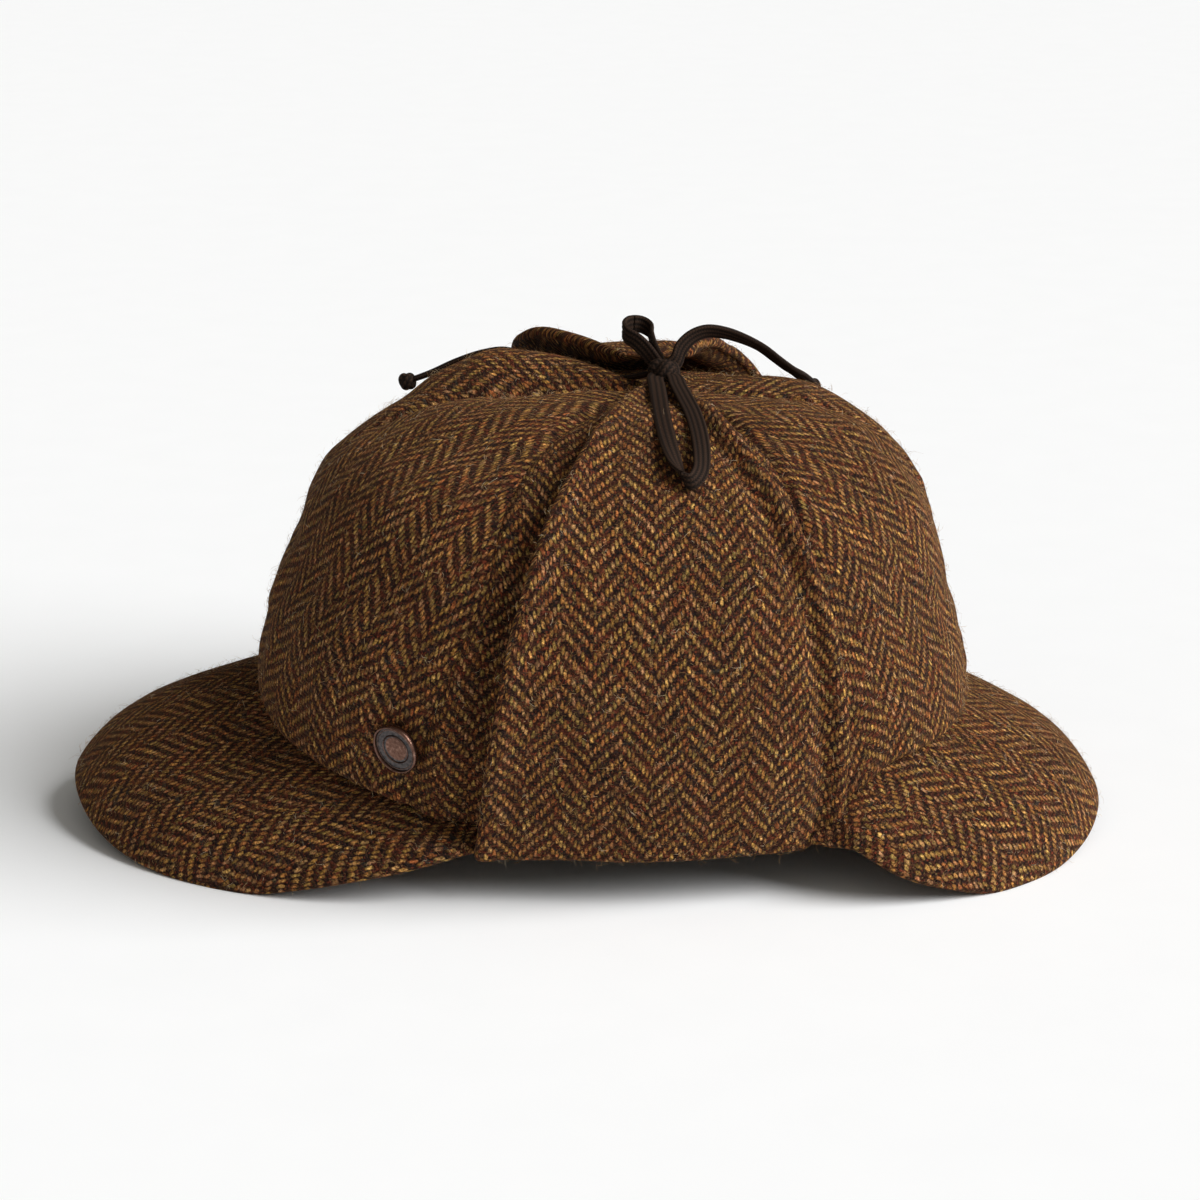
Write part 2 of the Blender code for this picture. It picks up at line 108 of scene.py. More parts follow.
FOOT_ROLL = 0.0036
VALLEY_DEPTH = 0.0030
VALLEY_OFF = 0.0035
VALLEY_WIDTH = 0.0055
VALLEY_TOP = 0.80
VALLEY_FADE = 0.25
SEAM_FULL_WIDTH = 0.02
PUCKER_SPACING = 0.0125
PUCKER_DRIFT = 2.2
PUCKER_DRIFT_LENGTH = 0.05
FOOT_OVERHANG_FADE = 0.014
# Where the foot hangs over the peaks: half angle and fade, in degrees
FRONT_COVER = (62, 12)
BACK_COVER = (50, 10)
# Soft waves: depth, length and seed
GORE_WAVES = ((0.0009, 0.050, 11), (0.0005, 0.022, 31))

# Peaks
PEAK_WALL = 0.0030
PEAK_HALF_WIDTH = 0.0890
PEAK_SQUARENESS = 2.05
FRONT_REACH = 0.1700
BACK_REACH = 0.1515
PEAK_TUCK_TURN = 1.14
PEAK_TUCK_RUN = 0.0120
PEAK_TUCK_SHARE = 0.095
PEAK_ROOT_TUCK = 0.0042
PEAK_COLUMNS = 160
PEAK_TOP_ROWS = 46
PEAK_RIM_ROWS = 8
PEAK_ROOT_DROP = 0.0005
PEAK_ROOT_SHARE = 0.02
PEAK_CORNER_FROM = 0.90
PEAK_CORNER_FADE = 0.05
PEAK_WAVE_DEPTH = 0.0006
PEAK_WAVE_LENGTH = 0.055
PEAK_WEAVE_RADIUS = 0.125
FRONT_RIM = (
    (0.00, 0.0120), (0.12, 0.0100), (0.28, 0.0045), (0.44, 0.0004), (0.55, -0.0008),
    (0.66, -0.0006), (0.77, 0.0038), (0.88, 0.0095), (1.00, 0.0160),
)
BACK_RIM = (
    (0.00, 0.0050), (0.15, 0.0040), (0.30, 0.0016), (0.44, -0.0004), (0.55, -0.0008),
    (0.66, -0.0006), (0.77, 0.0032), (0.88, 0.0085), (1.00, 0.0180),
)
PEAK_RISE = ((0.0, 0.0), (0.05, 0.15), (0.15, 0.36), (0.30, 0.55), (0.50, 0.71), (0.75, 0.87), (1.0, 1.0))

# Ear flaps
FLAP_WALL = 0.0034
FLAP_GAP = 0.0006
FLAP_LIFT = 0.0080
FLAP_TUCK = 0.0040
FLAP_EDGE_LIFT = 0.0020
FLAP_LIFT_WIDTH = 0.10
FLAP_TUCK_ROWS = 14
FLAP_TUCK_ANGLE = math.pi / 2 * 1.05
FLAP_QUIET_FADE = 0.12
FLAP_TOP_THINNING = 0.02
FLAP_WAVES = ((0.0009, 0.060, 77), (0.0004, 0.024, 87))
# Ridges and grooves along the edges: height, distance from the edge and width
EDGE_RELIEF = ((0.0005, 0.0015, 0.0022), (-0.0004, 0.007, 0.003))
REAR_RELIEF = ((0.0007, 0.0014, 0.0026), (-0.0018, 0.0066, 0.0030))
FLAP_FACE_COLUMNS = 46
FLAP_EDGE_COLUMNS = 8
FLAP_ROWS = 120
FLAP_FOOT = (
    (0.03, -0.380, 0.612, 0.10, 0.05, 0.10),
    (0.12, -0.362, 0.617, 0.20, 0.08, 0.15),
    (0.22, -0.338, 0.614, 0.30, 0.10, 0.18),
    (0.32, -0.315, 0.604, 0.36, 0.12, 0.20),
)
FLAP_NEAR = (
    *FLAP_FOOT,
    (0.42, -0.287, 0.580, 0.42, 0.12, 0.20),
    (0.52, -0.253, 0.548, 0.44, 0.12, 0.20),
    (0.61, -0.214, 0.505, 0.42, 0.10, 0.20),
    (0.69, -0.171, 0.455, 0.40, 0.08, 0.18),
    (0.77, -0.121, 0.398, 0.36, 0.06, 0.15),
    (0.84, -0.071, 0.336, 0.30, 0.04, 0.12),
    (0.90, -0.019, 0.275, 0.22, 0.02, 0.10),
    (0.95, 0.033, 0.205, 0.12, 0.00, 0.05),
    (0.99, 0.080, 0.140, 0.00, 0.00, 0.00),
)
FLAP_FAR = (
    *FLAP_FOOT,
    (0.42, -0.290, 0.580, 0.42, 0.12, 0.20),
    (0.52, -0.270, 0.548, 0.44, 0.14, 0.20),
    (0.61, -0.265, 0.505, 0.46, 0.18, 0.24),
    (0.69, -0.270, 0.470, 0.50, 0.24, 0.32),
    (0.77, -0.290, 0.405, 0.56, 0.34, 0.45),
    (0.84, -0.300, 0.350, 0.55, 0.44, 0.72),
    (0.90, -0.240, 0.300, 0.50, 0.54, 0.96),
    (0.94, -0.120, 0.250, 0.58, 0.62, 0.85),
    (0.97, 0.010, 0.205, 0.56, 0.58, 0.55),
)

# Tie: each route as x, y, height above the crown's top and tilt in degrees
BRAID_WIDTH = 0.0053
BRAID_THICKNESS = 0.0015
BRAID_STEP = 0.0009
BRAID_RIBS = 4
BRAID_AROUND = 56
KNOT_CENTRE = Vector((0.0236, -0.0034, CROWN_HEIGHT + 0.0067))
KNOT_HALF_SIZE = (0.0056, 0.0050, 0.0044)
KNOT_TUBE = 0.0023
END_KNOT_RADIUS = 0.0028
END_KNOT_TUBE = 0.00125
END_KNOT_STAND = 0.0002
BRAID_CORNERS = 0.55
STITCH_RIB = 0.0016
STITCH_LENGTH = 0.00085
LOOP_NEAR = (
    (0.0210, -0.0077, 0.0058, 80), (0.0212, -0.0160, 0.0052, 86), (0.0216, -0.0280, 0.0043, 90),
    (0.0222, -0.0400, 0.0024, 90), (0.0232, -0.0510, -0.0002, 88), (0.0246, -0.0600, -0.0034, 78),
    (0.0266, -0.0680, -0.0068, 50), (0.0297, -0.0724, -0.0092, 8), (0.0327, -0.0688, -0.0073, -46),
    (0.0334, -0.0610, -0.0039, -76), (0.0328, -0.0510, -0.0002, -88), (0.0314, -0.0400, 0.0026, -90),
    (0.0293, -0.0280, 0.0045, -90), (0.0276, -0.0160, 0.0054, -86), (0.0266, -0.0072, 0.0060, -80),
)
LOOP_FAR = (
    (0.0210, -0.0010, 0.0090, 0), (0.0182, 0.0006, 0.0122, 0), (0.0152, 0.0018, 0.0150, 0),
    (0.0126, 0.0036, 0.0162, 0), (0.0116, 0.0066, 0.0177, 0), (0.0132, 0.0100, 0.0184, 0),
    (0.0166, 0.0118, 0.0180, 0), (0.0194, 0.0104, 0.0166, 0), (0.0200, 0.0076, 0.0144, 0),
    (0.0206, 0.0052, 0.0124, 0), (0.0216, 0.0030, 0.0100, 0), (0.0228, 0.0010, 0.0082, 0),
)
END_BACK = (
    (0.0270, -0.0022, 0.0094, 0), (0.0288, -0.0008, 0.0134, 0), (0.0320, 0.0010, 0.0164, 15),
    (0.0364, 0.0030, 0.0177, 30), (0.0420, 0.0054, 0.0167, 45), (0.0480, 0.0084, 0.0141, 60),
    (0.0536, 0.0120, 0.0106, 75), (0.0584, 0.0162, 0.0062, 85), (0.0624, 0.0216, 0.0022, 90),
    (0.0658, 0.0286, -0.0012, 90), (0.0686, 0.0364, -0.0048, 90), (0.0708, 0.0436, -0.0084, 90),
)
END_FRONT = (
    (0.0200, 0.0002, 0.0056, 95), (0.0140, 0.0050, 0.0030, 102), (0.0070, 0.0110, 0.0016, 105),
    (-0.0010, 0.0180, 0.0014, 107), (-0.0090, 0.0250, 0.0020, 109), (-0.0170, 0.0310, 0.0034, 112),
    (-0.0250, 0.0345, 0.0048, 116), (-0.0330, 0.0355, 0.0034, 120), (-0.0410, 0.0350, 0.0008, 120),
    (-0.0480, 0.0336, -0.0020, 118), (-0.0532, 0.0320, -0.0036, 115),
)

# Stud
STUD_RADIUS = 0.0077
STUD_THICKNESS = 0.0024
STUD_AZIMUTH = 237.5
STUD_AT = 0.217
STUD_FACING = Vector((-0.556, -0.800, -0.205))
STUD_STAND = 0.0006
STUD_DARK_INSIDE = 0.42
STUD_DARK_OUTSIDE = 0.895
STUD_DARK_BELOW = 0.70
STUD_PROFILE = (
    (0.000, 0.00), (0.900, 0.00), (0.970, 0.10), (1.000, 0.34), (1.000, 0.66), (0.985, 0.86),
    (0.960, 0.97), (0.930, 1.00), (0.905, 0.94), (0.895, 0.80), (0.885, 0.66), (0.840, 0.66),
    (0.830, 0.72), (0.815, 0.72), (0.805, 0.64), (0.600, 0.60), (0.590, 0.70), (0.570, 0.76),
    (0.550, 0.70), (0.540, 0.56), (0.480, 0.52), (0.200, 0.50), (0.000, 0.50),
)
STUD_TURNS = 96
STUD_SHARP_ANGLE = math.radians(60)

# Stray wool hairs: the radius, and a radius share at root, middle and tip
FIBRE_RADIUS = 0.000032
FIBRE_TAPER = (1.0, 0.85, 0.3)

# Light
FILL_FROM = (0.45, -0.80, 0.40)
FILL_LOW = 0.055
FILL_HIGH = 0.43
KEY_STRENGTH = 4.25
KEY_SPREAD = math.radians(44)
KEY_FROM = (0.77, -0.26, 0.58)
KEY_COLOUR = (0.99, 0.995, 1.0)
WORLD_COLOUR = (1.0, 0.975, 0.90, 1.0)
FLOOR_DARK = (0.94, 0.945, 0.955, 1.0)
FLOOR_LIGHT = (0.955, 0.96, 0.97, 1.0)

# Yarn colours: where each starts, from 0 to 1, and red, green and blue from 0 to 255
LIGHT_YARN = (
    (0.00, (150, 106, 56)), (0.15, (172, 126, 62)), (0.33, (166, 106, 58)),
    (0.47, (146, 118, 62)), (0.58, (160, 116, 80)), (0.72, (150, 86, 48)),
    (0.82, (184, 142, 78)), (0.93, (128, 104, 58)),
)
DARK_YARN = (
    (0.00, (37, 23, 19)), (0.22, (46, 27, 20)), (0.42, (28, 20, 19)),
    (0.58, (54, 29, 21)), (0.74, (36, 27, 25)), (0.86, (66, 31, 21)),
    (0.93, (25, 21, 20)), (0.98, (38, 38, 35)),
)


def placed(name, data):
    """A new object in the scene."""
    made = bpy.data.objects.new(name, data)
    bpy.context.scene.collection.objects.link(made)
    return made


def meshed(name, made, *looks):
    """A new object from a bmesh, which is freed, with its materials."""
    mesh = bpy.data.meshes.new(name)
    made.to_mesh(mesh)
    made.free()
    for look in looks:
        mesh.materials.append(look)
    return placed(name, mesh)


def finish(piece, slot, *nodes):
    """Put a piece on the root body, in place of the solids that it stands for; the slot is not used."""
    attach(piece, "root")
    if nodes:
        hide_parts(*nodes)


def camera():
    """The camera, looking at the hat's near side from a little above."""
    made = placed("camera", bpy.data.cameras.new("camera"))
    made.data.lens = LENS
    away = Vector((0.0, -math.cos(VIEW_ELEVATION), math.sin(VIEW_ELEVATION)))
    made.location = VIEW_TARGET + away * VIEW_DISTANCE
    made.rotation_euler = (math.pi / 2 - VIEW_ELEVATION, 0.0, 0.0)
    made.data.clip_start = 0.05
    bpy.context.scene.camera = made


def read_table(rows, at):
    """Smooth values for every column of a table whose first column is where."""
    table = np.array(rows, dtype=float)
    where = table[:, 0]
    slopes = np.gradient(table, where, axis=0)
    at = np.clip(np.asarray(at, dtype=float), where[0], where[-1])
    row = np.clip(np.searchsorted(where, at) - 1, 0, len(where) - 2)
    span = (where[row + 1] - where[row])[..., None]
    s = (at - where[row])[..., None] / span
    values = ((2 * s**3 - 3 * s**2 + 1) * table[row]
              + (s**3 - 2 * s**2 + s) * span * slopes[row]
              + (3 * s**2 - 2 * s**3) * table[row + 1]
              + (s**3 - s**2) * span * slopes[row + 1])
    return np.moveaxis(values, -1, 0)


def signed_power(value, exponent):
    return np.copysign(np.abs(value) ** exponent, value)


def unit(vectors):
    return vectors / np.maximum(np.linalg.norm(vectors, axis=-1, keepdims=True), 1e-9)


def crown_centre(at):
    _, _, front, side, back = read_table(MERIDIAN, at)
    spread = np.clip((front + 2 * side + back) / 4, 0.0, 1.0)
    return APEX_SHIFT * (1 - spread) ** 1.5


def smooth_crown(azimuth, at):
    """Points of the crown before its gores puff, azimuth in radians from the back."""
    _, height, front, side, back = read_table(MERIDIAN, at)
    across = np.cos(azimuth)
    length = CROWN_HALF_LENGTH * np.where(across < 0, front, back)
    x = CROWN_CENTRE_X + crown_centre(at) + length * signed_power(across, 2 / CROWN_SQUARENESS)
    y = CROWN_HALF_WIDTH * side * signed_power(np.sin(azimuth), 2 / CROWN_SQUARENESS)
    return np.stack((x, y, CROWN_HEIGHT * height), axis=-1)


def crown_normal(azimuth, at, small=0.004):
    at = np.minimum(at, 1 - 2 * small)
    turned = smooth_crown(azimuth + small, at) - smooth_crown(azimuth - small, at)
    risen = smooth_crown(azimuth, at + small) - smooth_crown(azimuth, at - small)
    return unit(np.cross(turned, risen))


def seam_azimuth(number, at):
    return SEAM_AZIMUTHS[number] + SEAM_SPLAY[number] * np.maximum(0.0, 1 - at / SEAM_SPLAY_TOP)


def puff(azimuth, at):
    """How far the gore at each azimuth swells out between its seams."""
    degrees = np.degrees(azimuth) % 360
    swell = np.zeros(np.broadcast(azimuth, at).shape)
    for _, seam, puff_top, puff_foot, _ in GORES:
        start = seam_azimuth(seam, at)
        end = seam_azimuth(seam + 1, at)
        share = np.clip((degrees - start) / (end - start), 0.0, 1.0)
        across = np.sin(math.pi * share) ** 0.8
        top = puff_top * np.exp(-((at - PUFF_TOP_AT) / PUFF_TOP_SPREAD) ** 2)
        foot = puff_foot * np.exp(-((at - PUFF_FOOT_AT) / PUFF_FOOT_SPREAD) ** 2)
        inside = (degrees >= start) & (degrees <= end)
        swell = np.where(inside, PUFF_DEPTH * across * (top + foot), swell)
    return swell


def crown_surface(azimuth, at, out=0.0):
    """Points on the crown's outer face, or a distance out from it."""
    return smooth_crown(azimuth, at) + crown_normal(azimuth, at) * (puff(azimuth, at) + out)[..., None]


def crown_edge_at(azimuth):
    """Where on each meridian the crown's lower edge lies."""
    degrees = np.abs((np.degrees(azimuth) + 180) % 360 - 180)
    height = read_table(EDGE, degrees)[1]
    rows = np.array(MERIDIAN)
    return np.interp(height, rows[:, 1], rows[:, 0])


def cloth_waves(x, y, wavelength, seed):
    """Soft irregular waves from -1 to 1 over a cloth's own coordinates."""
    draw = np.random.default_rng(seed)
    total = 0.0
    for _ in range(6):
        turn = draw.uniform(0, 2 * math.pi)
        stretch = draw.uniform(0.7, 1.5) * 2 * math.pi / wavelength
        phase = draw.uniform(0, 2 * math.pi)
        total = total + np.sin((x * math.cos(turn) + y * math.sin(turn)) * stretch + phase)
    return total / 4


def run_length(points, axis):
    """Distance along one axis of a grid of points, from its start."""
    steps = np.linalg.norm(np.diff(points, axis=axis), axis=-1)
    total = np.cumsum(steps, axis=axis)
    start = np.zeros_like(np.take(total, [0], axis=axis))
    return np.concatenate((start, total), axis=axis)


def turned(u, v, degrees):
    turn = math.radians(degrees)
    return u * math.cos(turn) - v * math.sin(turn), u * math.sin(turn) + v * math.cos(turn)


def cloth_sheet(name, points, u, v, look, closed_across=False, outward=None, wall=0.0):
    """A sheet of cloth: a grid laid on points[row, column], with its weave coordinates."""
    rows, columns = points.shape[:2]
    made = bmesh.new()
    bmesh.ops.create_grid(made, x_segments=columns - 1, y_segments=rows - 1, size=0.5)
    weave = made.loops.layers.uv.new("weave")
    places = [(round((vert.co.y + 0.5) * (rows - 1)), round((vert.co.x + 0.5) * (columns - 1)))
              for vert in made.verts]
    for vert, place in zip(made.verts, places):
        vert.co = points[place]
    for face in made.faces:
        for loop in face.loops:
            place = places[loop.vert.index]
            loop[weave].uv = (u[place], v[place])
    if closed_across:
        bmesh.ops.remove_doubles(made, verts=made.verts, dist=2e-5)
        bmesh.ops.holes_fill(made, edges=[edge for edge in made.edges if edge.is_boundary], sides=0)
        bmesh.ops.recalc_face_normals(made, faces=made.faces)
    else:
        made.normal_update()
        lean = sum(vert.normal.dot(Vector(outward[place])) for vert, place in zip(made.verts, places))
        if lean < 0:
            bmesh.ops.reverse_faces(made, faces=made.faces)
    piece = meshed(name, made, look)
    piece.data.shade_smooth()
    if wall:
        thick = piece.modifiers.new("wall", "SOLIDIFY")
        thick.thickness = wall
        thick.offset = -1.0
    return piece


def crowded_ends(count, amount=0.6):
    """Shares from 0 to 1 that lie closer together near both ends."""
    even = np.linspace(0.0, 1.0, count)
    return even - amount * np.sin(2 * math.pi * even) / (2 * math.pi)


def peak_cover(azimuth):
    """1 where the crown's foot hangs over a peak, fading to 0 beside it."""
    degrees = np.degrees(azimuth) % 360
    front = np.abs(degrees - 180)
    back = np.minimum(degrees, 360 - degrees)
    return (np.clip((FRONT_COVER[0] - front) / FRONT_COVER[1], 0, 1)
            + np.clip((BACK_COVER[0] - back) / BACK_COVER[1], 0, 1))


def gore(name, seam, weave_turn, look):
    """One gore of the crown, with its cloth rolled into the seams and over the peak."""
    s = crowded_ends(GORE_COLUMNS + 1)[None, :]
    share = crowded_ends(GORE_ROWS + 1, 0.35)[:, None]
    at = np.zeros((GORE_ROWS + 1, GORE_COLUMNS + 1))
    for _ in range(5):
        start = seam_azimuth(seam, at)
        end = seam_azimuth(seam + 1, at)
        azimuth = np.radians(start + (end - start) * s)
        foot = crown_edge_at(azimuth)
        at = foot + (APEX_OPEN - foot) * share
    base = smooth_crown(azimuth, at)
    across = run_length(base, 1)
    width = across[:, -1:]
    up = run_length(base, 0)
    middle = up[:, GORE_COLUMNS // 2][:, None]
    from_seam = np.minimum(across, width - across)
    rolled = np.exp(-(from_seam / SEAM_WIDTH) ** 2)
    fine = np.clip(width / SEAM_FULL_WIDTH, 0, 1)
    out = -SEAM_DEPTH * rolled * fine
    drift = PUCKER_DRIFT * cloth_waves(middle, across * 0, PUCKER_DRIFT_LENGTH, seam + 3)
    wave = np.sin(middle * 2 * math.pi / PUCKER_SPACING + drift)
    out = out + PUCKER_DEPTH * wave * np.exp(-from_seam / PUCKER_REACH) * (1 - rolled) * fine
    for depth, wavelength, seed in GORE_WAVES:
        waves = cloth_waves(across - width / 2, middle, wavelength, seam + seed)
        out = out + depth * waves * (1 - rolled) * fine
    for side, table in ((-1, FLAP_NEAR), (1, FLAP_FAR)):
        beside = base[..., 0] - CROWN_CENTRE_X - CROWN_HALF_LENGTH * read_table(table, at)[1] + VALLEY_OFF
        reach = np.clip((VALLEY_TOP - at) / VALLEY_FADE, 0, 1) * (np.sign(base[..., 1]) == side)
        out = out - VALLEY_DEPTH * np.exp(-(beside / VALLEY_WIDTH) ** 2) * reach
    cover = peak_cover(azimuth)
    roll = 1 - np.sqrt(np.clip(1 - np.clip(1 - up / FOOT_ROLL, 0, 1) ** 2, 0, 1))
    out = out + cover * (FOOT_OVERHANG * np.exp(-(up / FOOT_OVERHANG_FADE) ** 2) - FOOT_ROLL * roll)
    points = crown_surface(azimuth, at, out)
    u, v = turned(across - width / 2, middle, weave_turn)
    piece = cloth_sheet(name + "_cloth", points, u + 0.05 * seam, v, look,
                        outward=crown_normal(azimuth, at), wall=CROWN_WALL)
    finish(piece, "tweed", name)
    return piece


def half_round(centre, half, reach, rows):
    """Rows of points that bend half round from centre + half, the last at centre - half."""
    bends = [math.pi * k / rows for k in range(1, rows + 1)]
    return [centre + half * math.cos(bend) + reach * math.sin(bend) for bend in bends]


def peak(name, middle, corner, reach, rim_table, look):
    """A peak: one cloth-covered shell whose edge is turned in a half round."""
    ahead = math.cos(middle)
    reached = PEAK_TUCK_TURN * (crowded_ends(PEAK_COLUMNS + 1, 0.25)[None, :] * 2 - 1)
    turn = np.clip(reached, -1.0, 1.0)
    tuck = (np.abs(reached) - np.abs(turn)) / (PEAK_TUCK_TURN - 1)
    share = (np.linspace(1.0, 0.0, PEAK_TOP_ROWS + 1) ** 1.15)[:, None]
    share = share * (1.0 - PEAK_ROOT_SHARE) + PEAK_ROOT_SHARE
    azimuth = middle + corner * reached
    root = crown_surface(azimuth, crown_edge_at(azimuth), -PEAK_ROOT_TUCK + np.zeros_like(azimuth))
    root[..., 2] -= PEAK_ROOT_DROP
    root[..., 0] -= CROWN_CENTRE_X
    end = middle + corner * np.ones((1, 1))
    corner_x = abs(crown_surface(end, crown_edge_at(end))[0, 0, 0] - CROWN_CENTRE_X)
    run = reach - corner_x
    angle = math.pi / 2 * turn
    along = np.clip(np.cos(angle), 0, 1) ** (2 / PEAK_SQUARENESS)
    side = signed_power(np.sin(angle), 2 / PEAK_SQUARENESS)
    rim_height = read_table(rim_table, np.abs(turn))[1]
    drawn_in = np.clip((np.abs(reached) - PEAK_CORNER_FROM) / (PEAK_TUCK_TURN - PEAK_CORNER_FROM), 0, 1)
    drawn_in = 1 - PEAK_TUCK_SHARE * drawn_in ** 2 * (3 - 2 * drawn_in)
    rim = np.stack((ahead * (corner_x + run * along - PEAK_TUCK_RUN * tuck),
                    ahead * PEAK_HALF_WIDTH * side * drawn_in, rim_height), axis=-1)
    rise = read_table(PEAK_RISE, share)[1]
    flat = rim + (root - rim) * share[..., None]
    top = flat.copy()
    top[..., 2] = rim[..., 2] + (root - rim)[..., 2] * rise
    top[..., 0] += CROWN_CENTRE_X
    down = np.gradient(top, axis=0)
    sideways = np.gradient(top, axis=1)
    normal = unit(np.cross(sideways, down))
    normal = normal * np.sign(normal[..., 2:3])
    fade = np.clip((PEAK_TUCK_TURN - np.abs(reached)) / PEAK_CORNER_FADE, 0.02, 1.0)
    wall = PEAK_WALL * fade * np.ones_like(share)
    u_run = run_length(top, 1)
    v_run = run_length(top, 0)
    wavy = cloth_waves(top[..., 0], top[..., 1], PEAK_WAVE_LENGTH, int(reach * 1e4))
    top = top + normal * (PEAK_WAVE_DEPTH * wavy * np.sin(math.pi * share))[..., None]
    bottom = top - normal * wall[..., None]
    centre = (top[-1] + bottom[-1]) / 2
    half = (top[-1] - bottom[-1]) / 2
    forward = unit(down[-1] - normal[-1] * np.sum(down[-1] * normal[-1], axis=-1, keepdims=True))
    forward = forward * np.linalg.norm(half, axis=-1, keepdims=True)
    bends = half_round(centre, half, forward, PEAK_RIM_ROWS)[:-1]
    points = np.concatenate((top, np.array(bends), bottom[::-1]), axis=0)
    points[..., 2] = np.maximum(points[..., 2], 0.0)
    spread = (u_run[0] - u_run[0, -1] / 2) / PEAK_WEAVE_RADIUS
    around_rim = PEAK_WALL * 0.5 * math.pi
    over_rim = around_rim * np.linspace(0, 1, PEAK_RIM_ROWS + 1)[1:-1, None]
    outward = np.concatenate((v_run, v_run[-1:] + over_rim, v_run[-1:] * 2 + around_rim - v_run[::-1]), axis=0)
    u = (PEAK_WEAVE_RADIUS + outward) * np.sin(spread)[None, :]
    v = (PEAK_WEAVE_RADIUS + outward) * np.cos(spread)[None, :]
    piece = cloth_sheet(name + "_cloth", points, u + 0.4, v + 0.4, look, closed_across=True)
    finish(piece, "tweed", name)
    return piece


def azimuth_at_x(x, at):
    """The azimuth on the far side of the crown where a meridian share has this x."""
    _, _, front, _, back = read_table(MERIDIAN, at)
    off = x - crown_centre(at)
    length = CROWN_HALF_LENGTH * np.where(off < 0, front, back)
    share = np.clip(off / length, -1.0, 1.0)
    return np.arccos(signed_power(share, CROWN_SQUARENESS / 2))


def flap_face(side, table, at, across, out_more=0.0):
    """Points of a flap's outer face, and the crown's normal there."""
    _, front, back, lift_front, lift_middle, lift_back = read_table(table, at)
    x = CROWN_HALF_LENGTH * (front + (back - front) * across)
    azimuth = side * azimuth_at_x(x, at)
    lift = (lift_middle + (lift_front - lift_middle) * (1 - across) ** 4
            + (lift_back - lift_middle) * across ** 4)
    edge = FLAP_EDGE_LIFT * np.exp(-(across / FLAP_LIFT_WIDTH) ** 2) * np.clip((0.9 - at) / 0.2, 0, 1)
    out = FLAP_GAP + FLAP_WALL + FLAP_LIFT * lift + edge + out_more
    return crown_surface(azimuth, at, out), crown_normal(azimuth, at)


def ear_flap(name, side, table, look):
    """An ear flap turned up: a double layer whose edge is turned in a half round."""
    low = table[0][0]
    high = table[-1][0]
    at = (low + (high - low) * crowded_ends(FLAP_ROWS + 1, 0.3))[:, None]
    across = crowded_ends(FLAP_FACE_COLUMNS + 1, 0.5)[None, :]
    at_grid = at + 0 * across
    across_grid = across + 0 * at
    plain, normal = flap_face(side, table, at_grid, across_grid)
    width = run_length(plain, 1)
    inset = np.clip(0.5 * FLAP_WALL / np.maximum(width[:, -1:], 1e-3), 0.0, 0.45)
    across_grid = inset + (1 - 2 * inset) * across
    plain, normal = flap_face(side, table, at_grid, across_grid)
    width = run_length(plain, 1)
    height = run_length(plain, 0)
    middle = height[:, FLAP_FACE_COLUMNS // 2][:, None]
    off = width - width[:, -1:] / 2
    quiet = np.clip((1.0 - at) / FLAP_QUIET_FADE, 0, 1)
    waves = 0.0
    for depth, wavelength, seed in FLAP_WAVES:
        waves = waves + depth * cloth_waves(off, middle, wavelength, seed + side) * quiet
    from_edge = np.minimum(width, width[:, -1:] - width)
    from_rear = width[:, -1:] - width
    bead = 0.0
    for rows, distance, share in ((EDGE_RELIEF, from_edge, 1.0), (REAR_RELIEF, from_rear, quiet)):
        for tall, place, wide in rows:
            bead = bead + tall * np.exp(-((distance - place) / wide) ** 2) * share
    outer, normal = flap_face(side, table, at_grid, across_grid, waves + bead)
    cloth_normal = unit(np.cross(np.gradient(outer, axis=1), np.gradient(outer, axis=0)))
    cloth_normal = cloth_normal * np.sign(np.sum(cloth_normal * normal, axis=-1, keepdims=True))
    thick = FLAP_WALL * np.clip((high - at) / FLAP_TOP_THINNING, 0.05, 1.0) ** 0.5 * np.ones_like(across)
    inner = outer - cloth_normal * thick[..., None]
    outward = unit(np.gradient(outer, axis=1))
    points = np.array([flap_section(*layers) for layers in zip(outer, inner, outward)])
    # The fold at the flap's foot, turning in under the crown's lower edge
    turn_in = []
    first = points[0]
    foot_normal = np.concatenate((normal[0], np.repeat(normal[0][-1:], FLAP_EDGE_COLUMNS - 1, 0),
                                  normal[0][::-1], np.repeat(normal[0][:1], FLAP_EDGE_COLUMNS, 0)))
    for k in range(FLAP_TUCK_ROWS, 0, -1):
        bend = FLAP_TUCK_ANGLE * k / FLAP_TUCK_ROWS
        moved = first - foot_normal * FLAP_TUCK * (1 - math.cos(bend))
        moved[:, 2] -= FLAP_TUCK * math.sin(bend)
        turn_in.append(moved)
    points = np.concatenate((np.array(turn_in), points), axis=0)
    girth = run_length(points, 1)
    face = FLAP_FACE_COLUMNS // 2
    u = girth - girth[:, face:face + 1]
    v = np.concatenate((-FLAP_TUCK * math.pi / 2 * np.arange(FLAP_TUCK_ROWS, 0, -1) / FLAP_TUCK_ROWS,
                        middle[:, 0]))[:, None] + 0 * u
    piece = cloth_sheet(name + "_cloth", points, u + 0.7 + 0.2 * side, v, look, closed_across=True)
    finish(piece, "tweed", name)
    area = float(np.sum(width[1:, -1] * np.diff(middle[:, 0])))
    return piece, (float(width[:, -1].max()), float(middle[-1, 0])), area


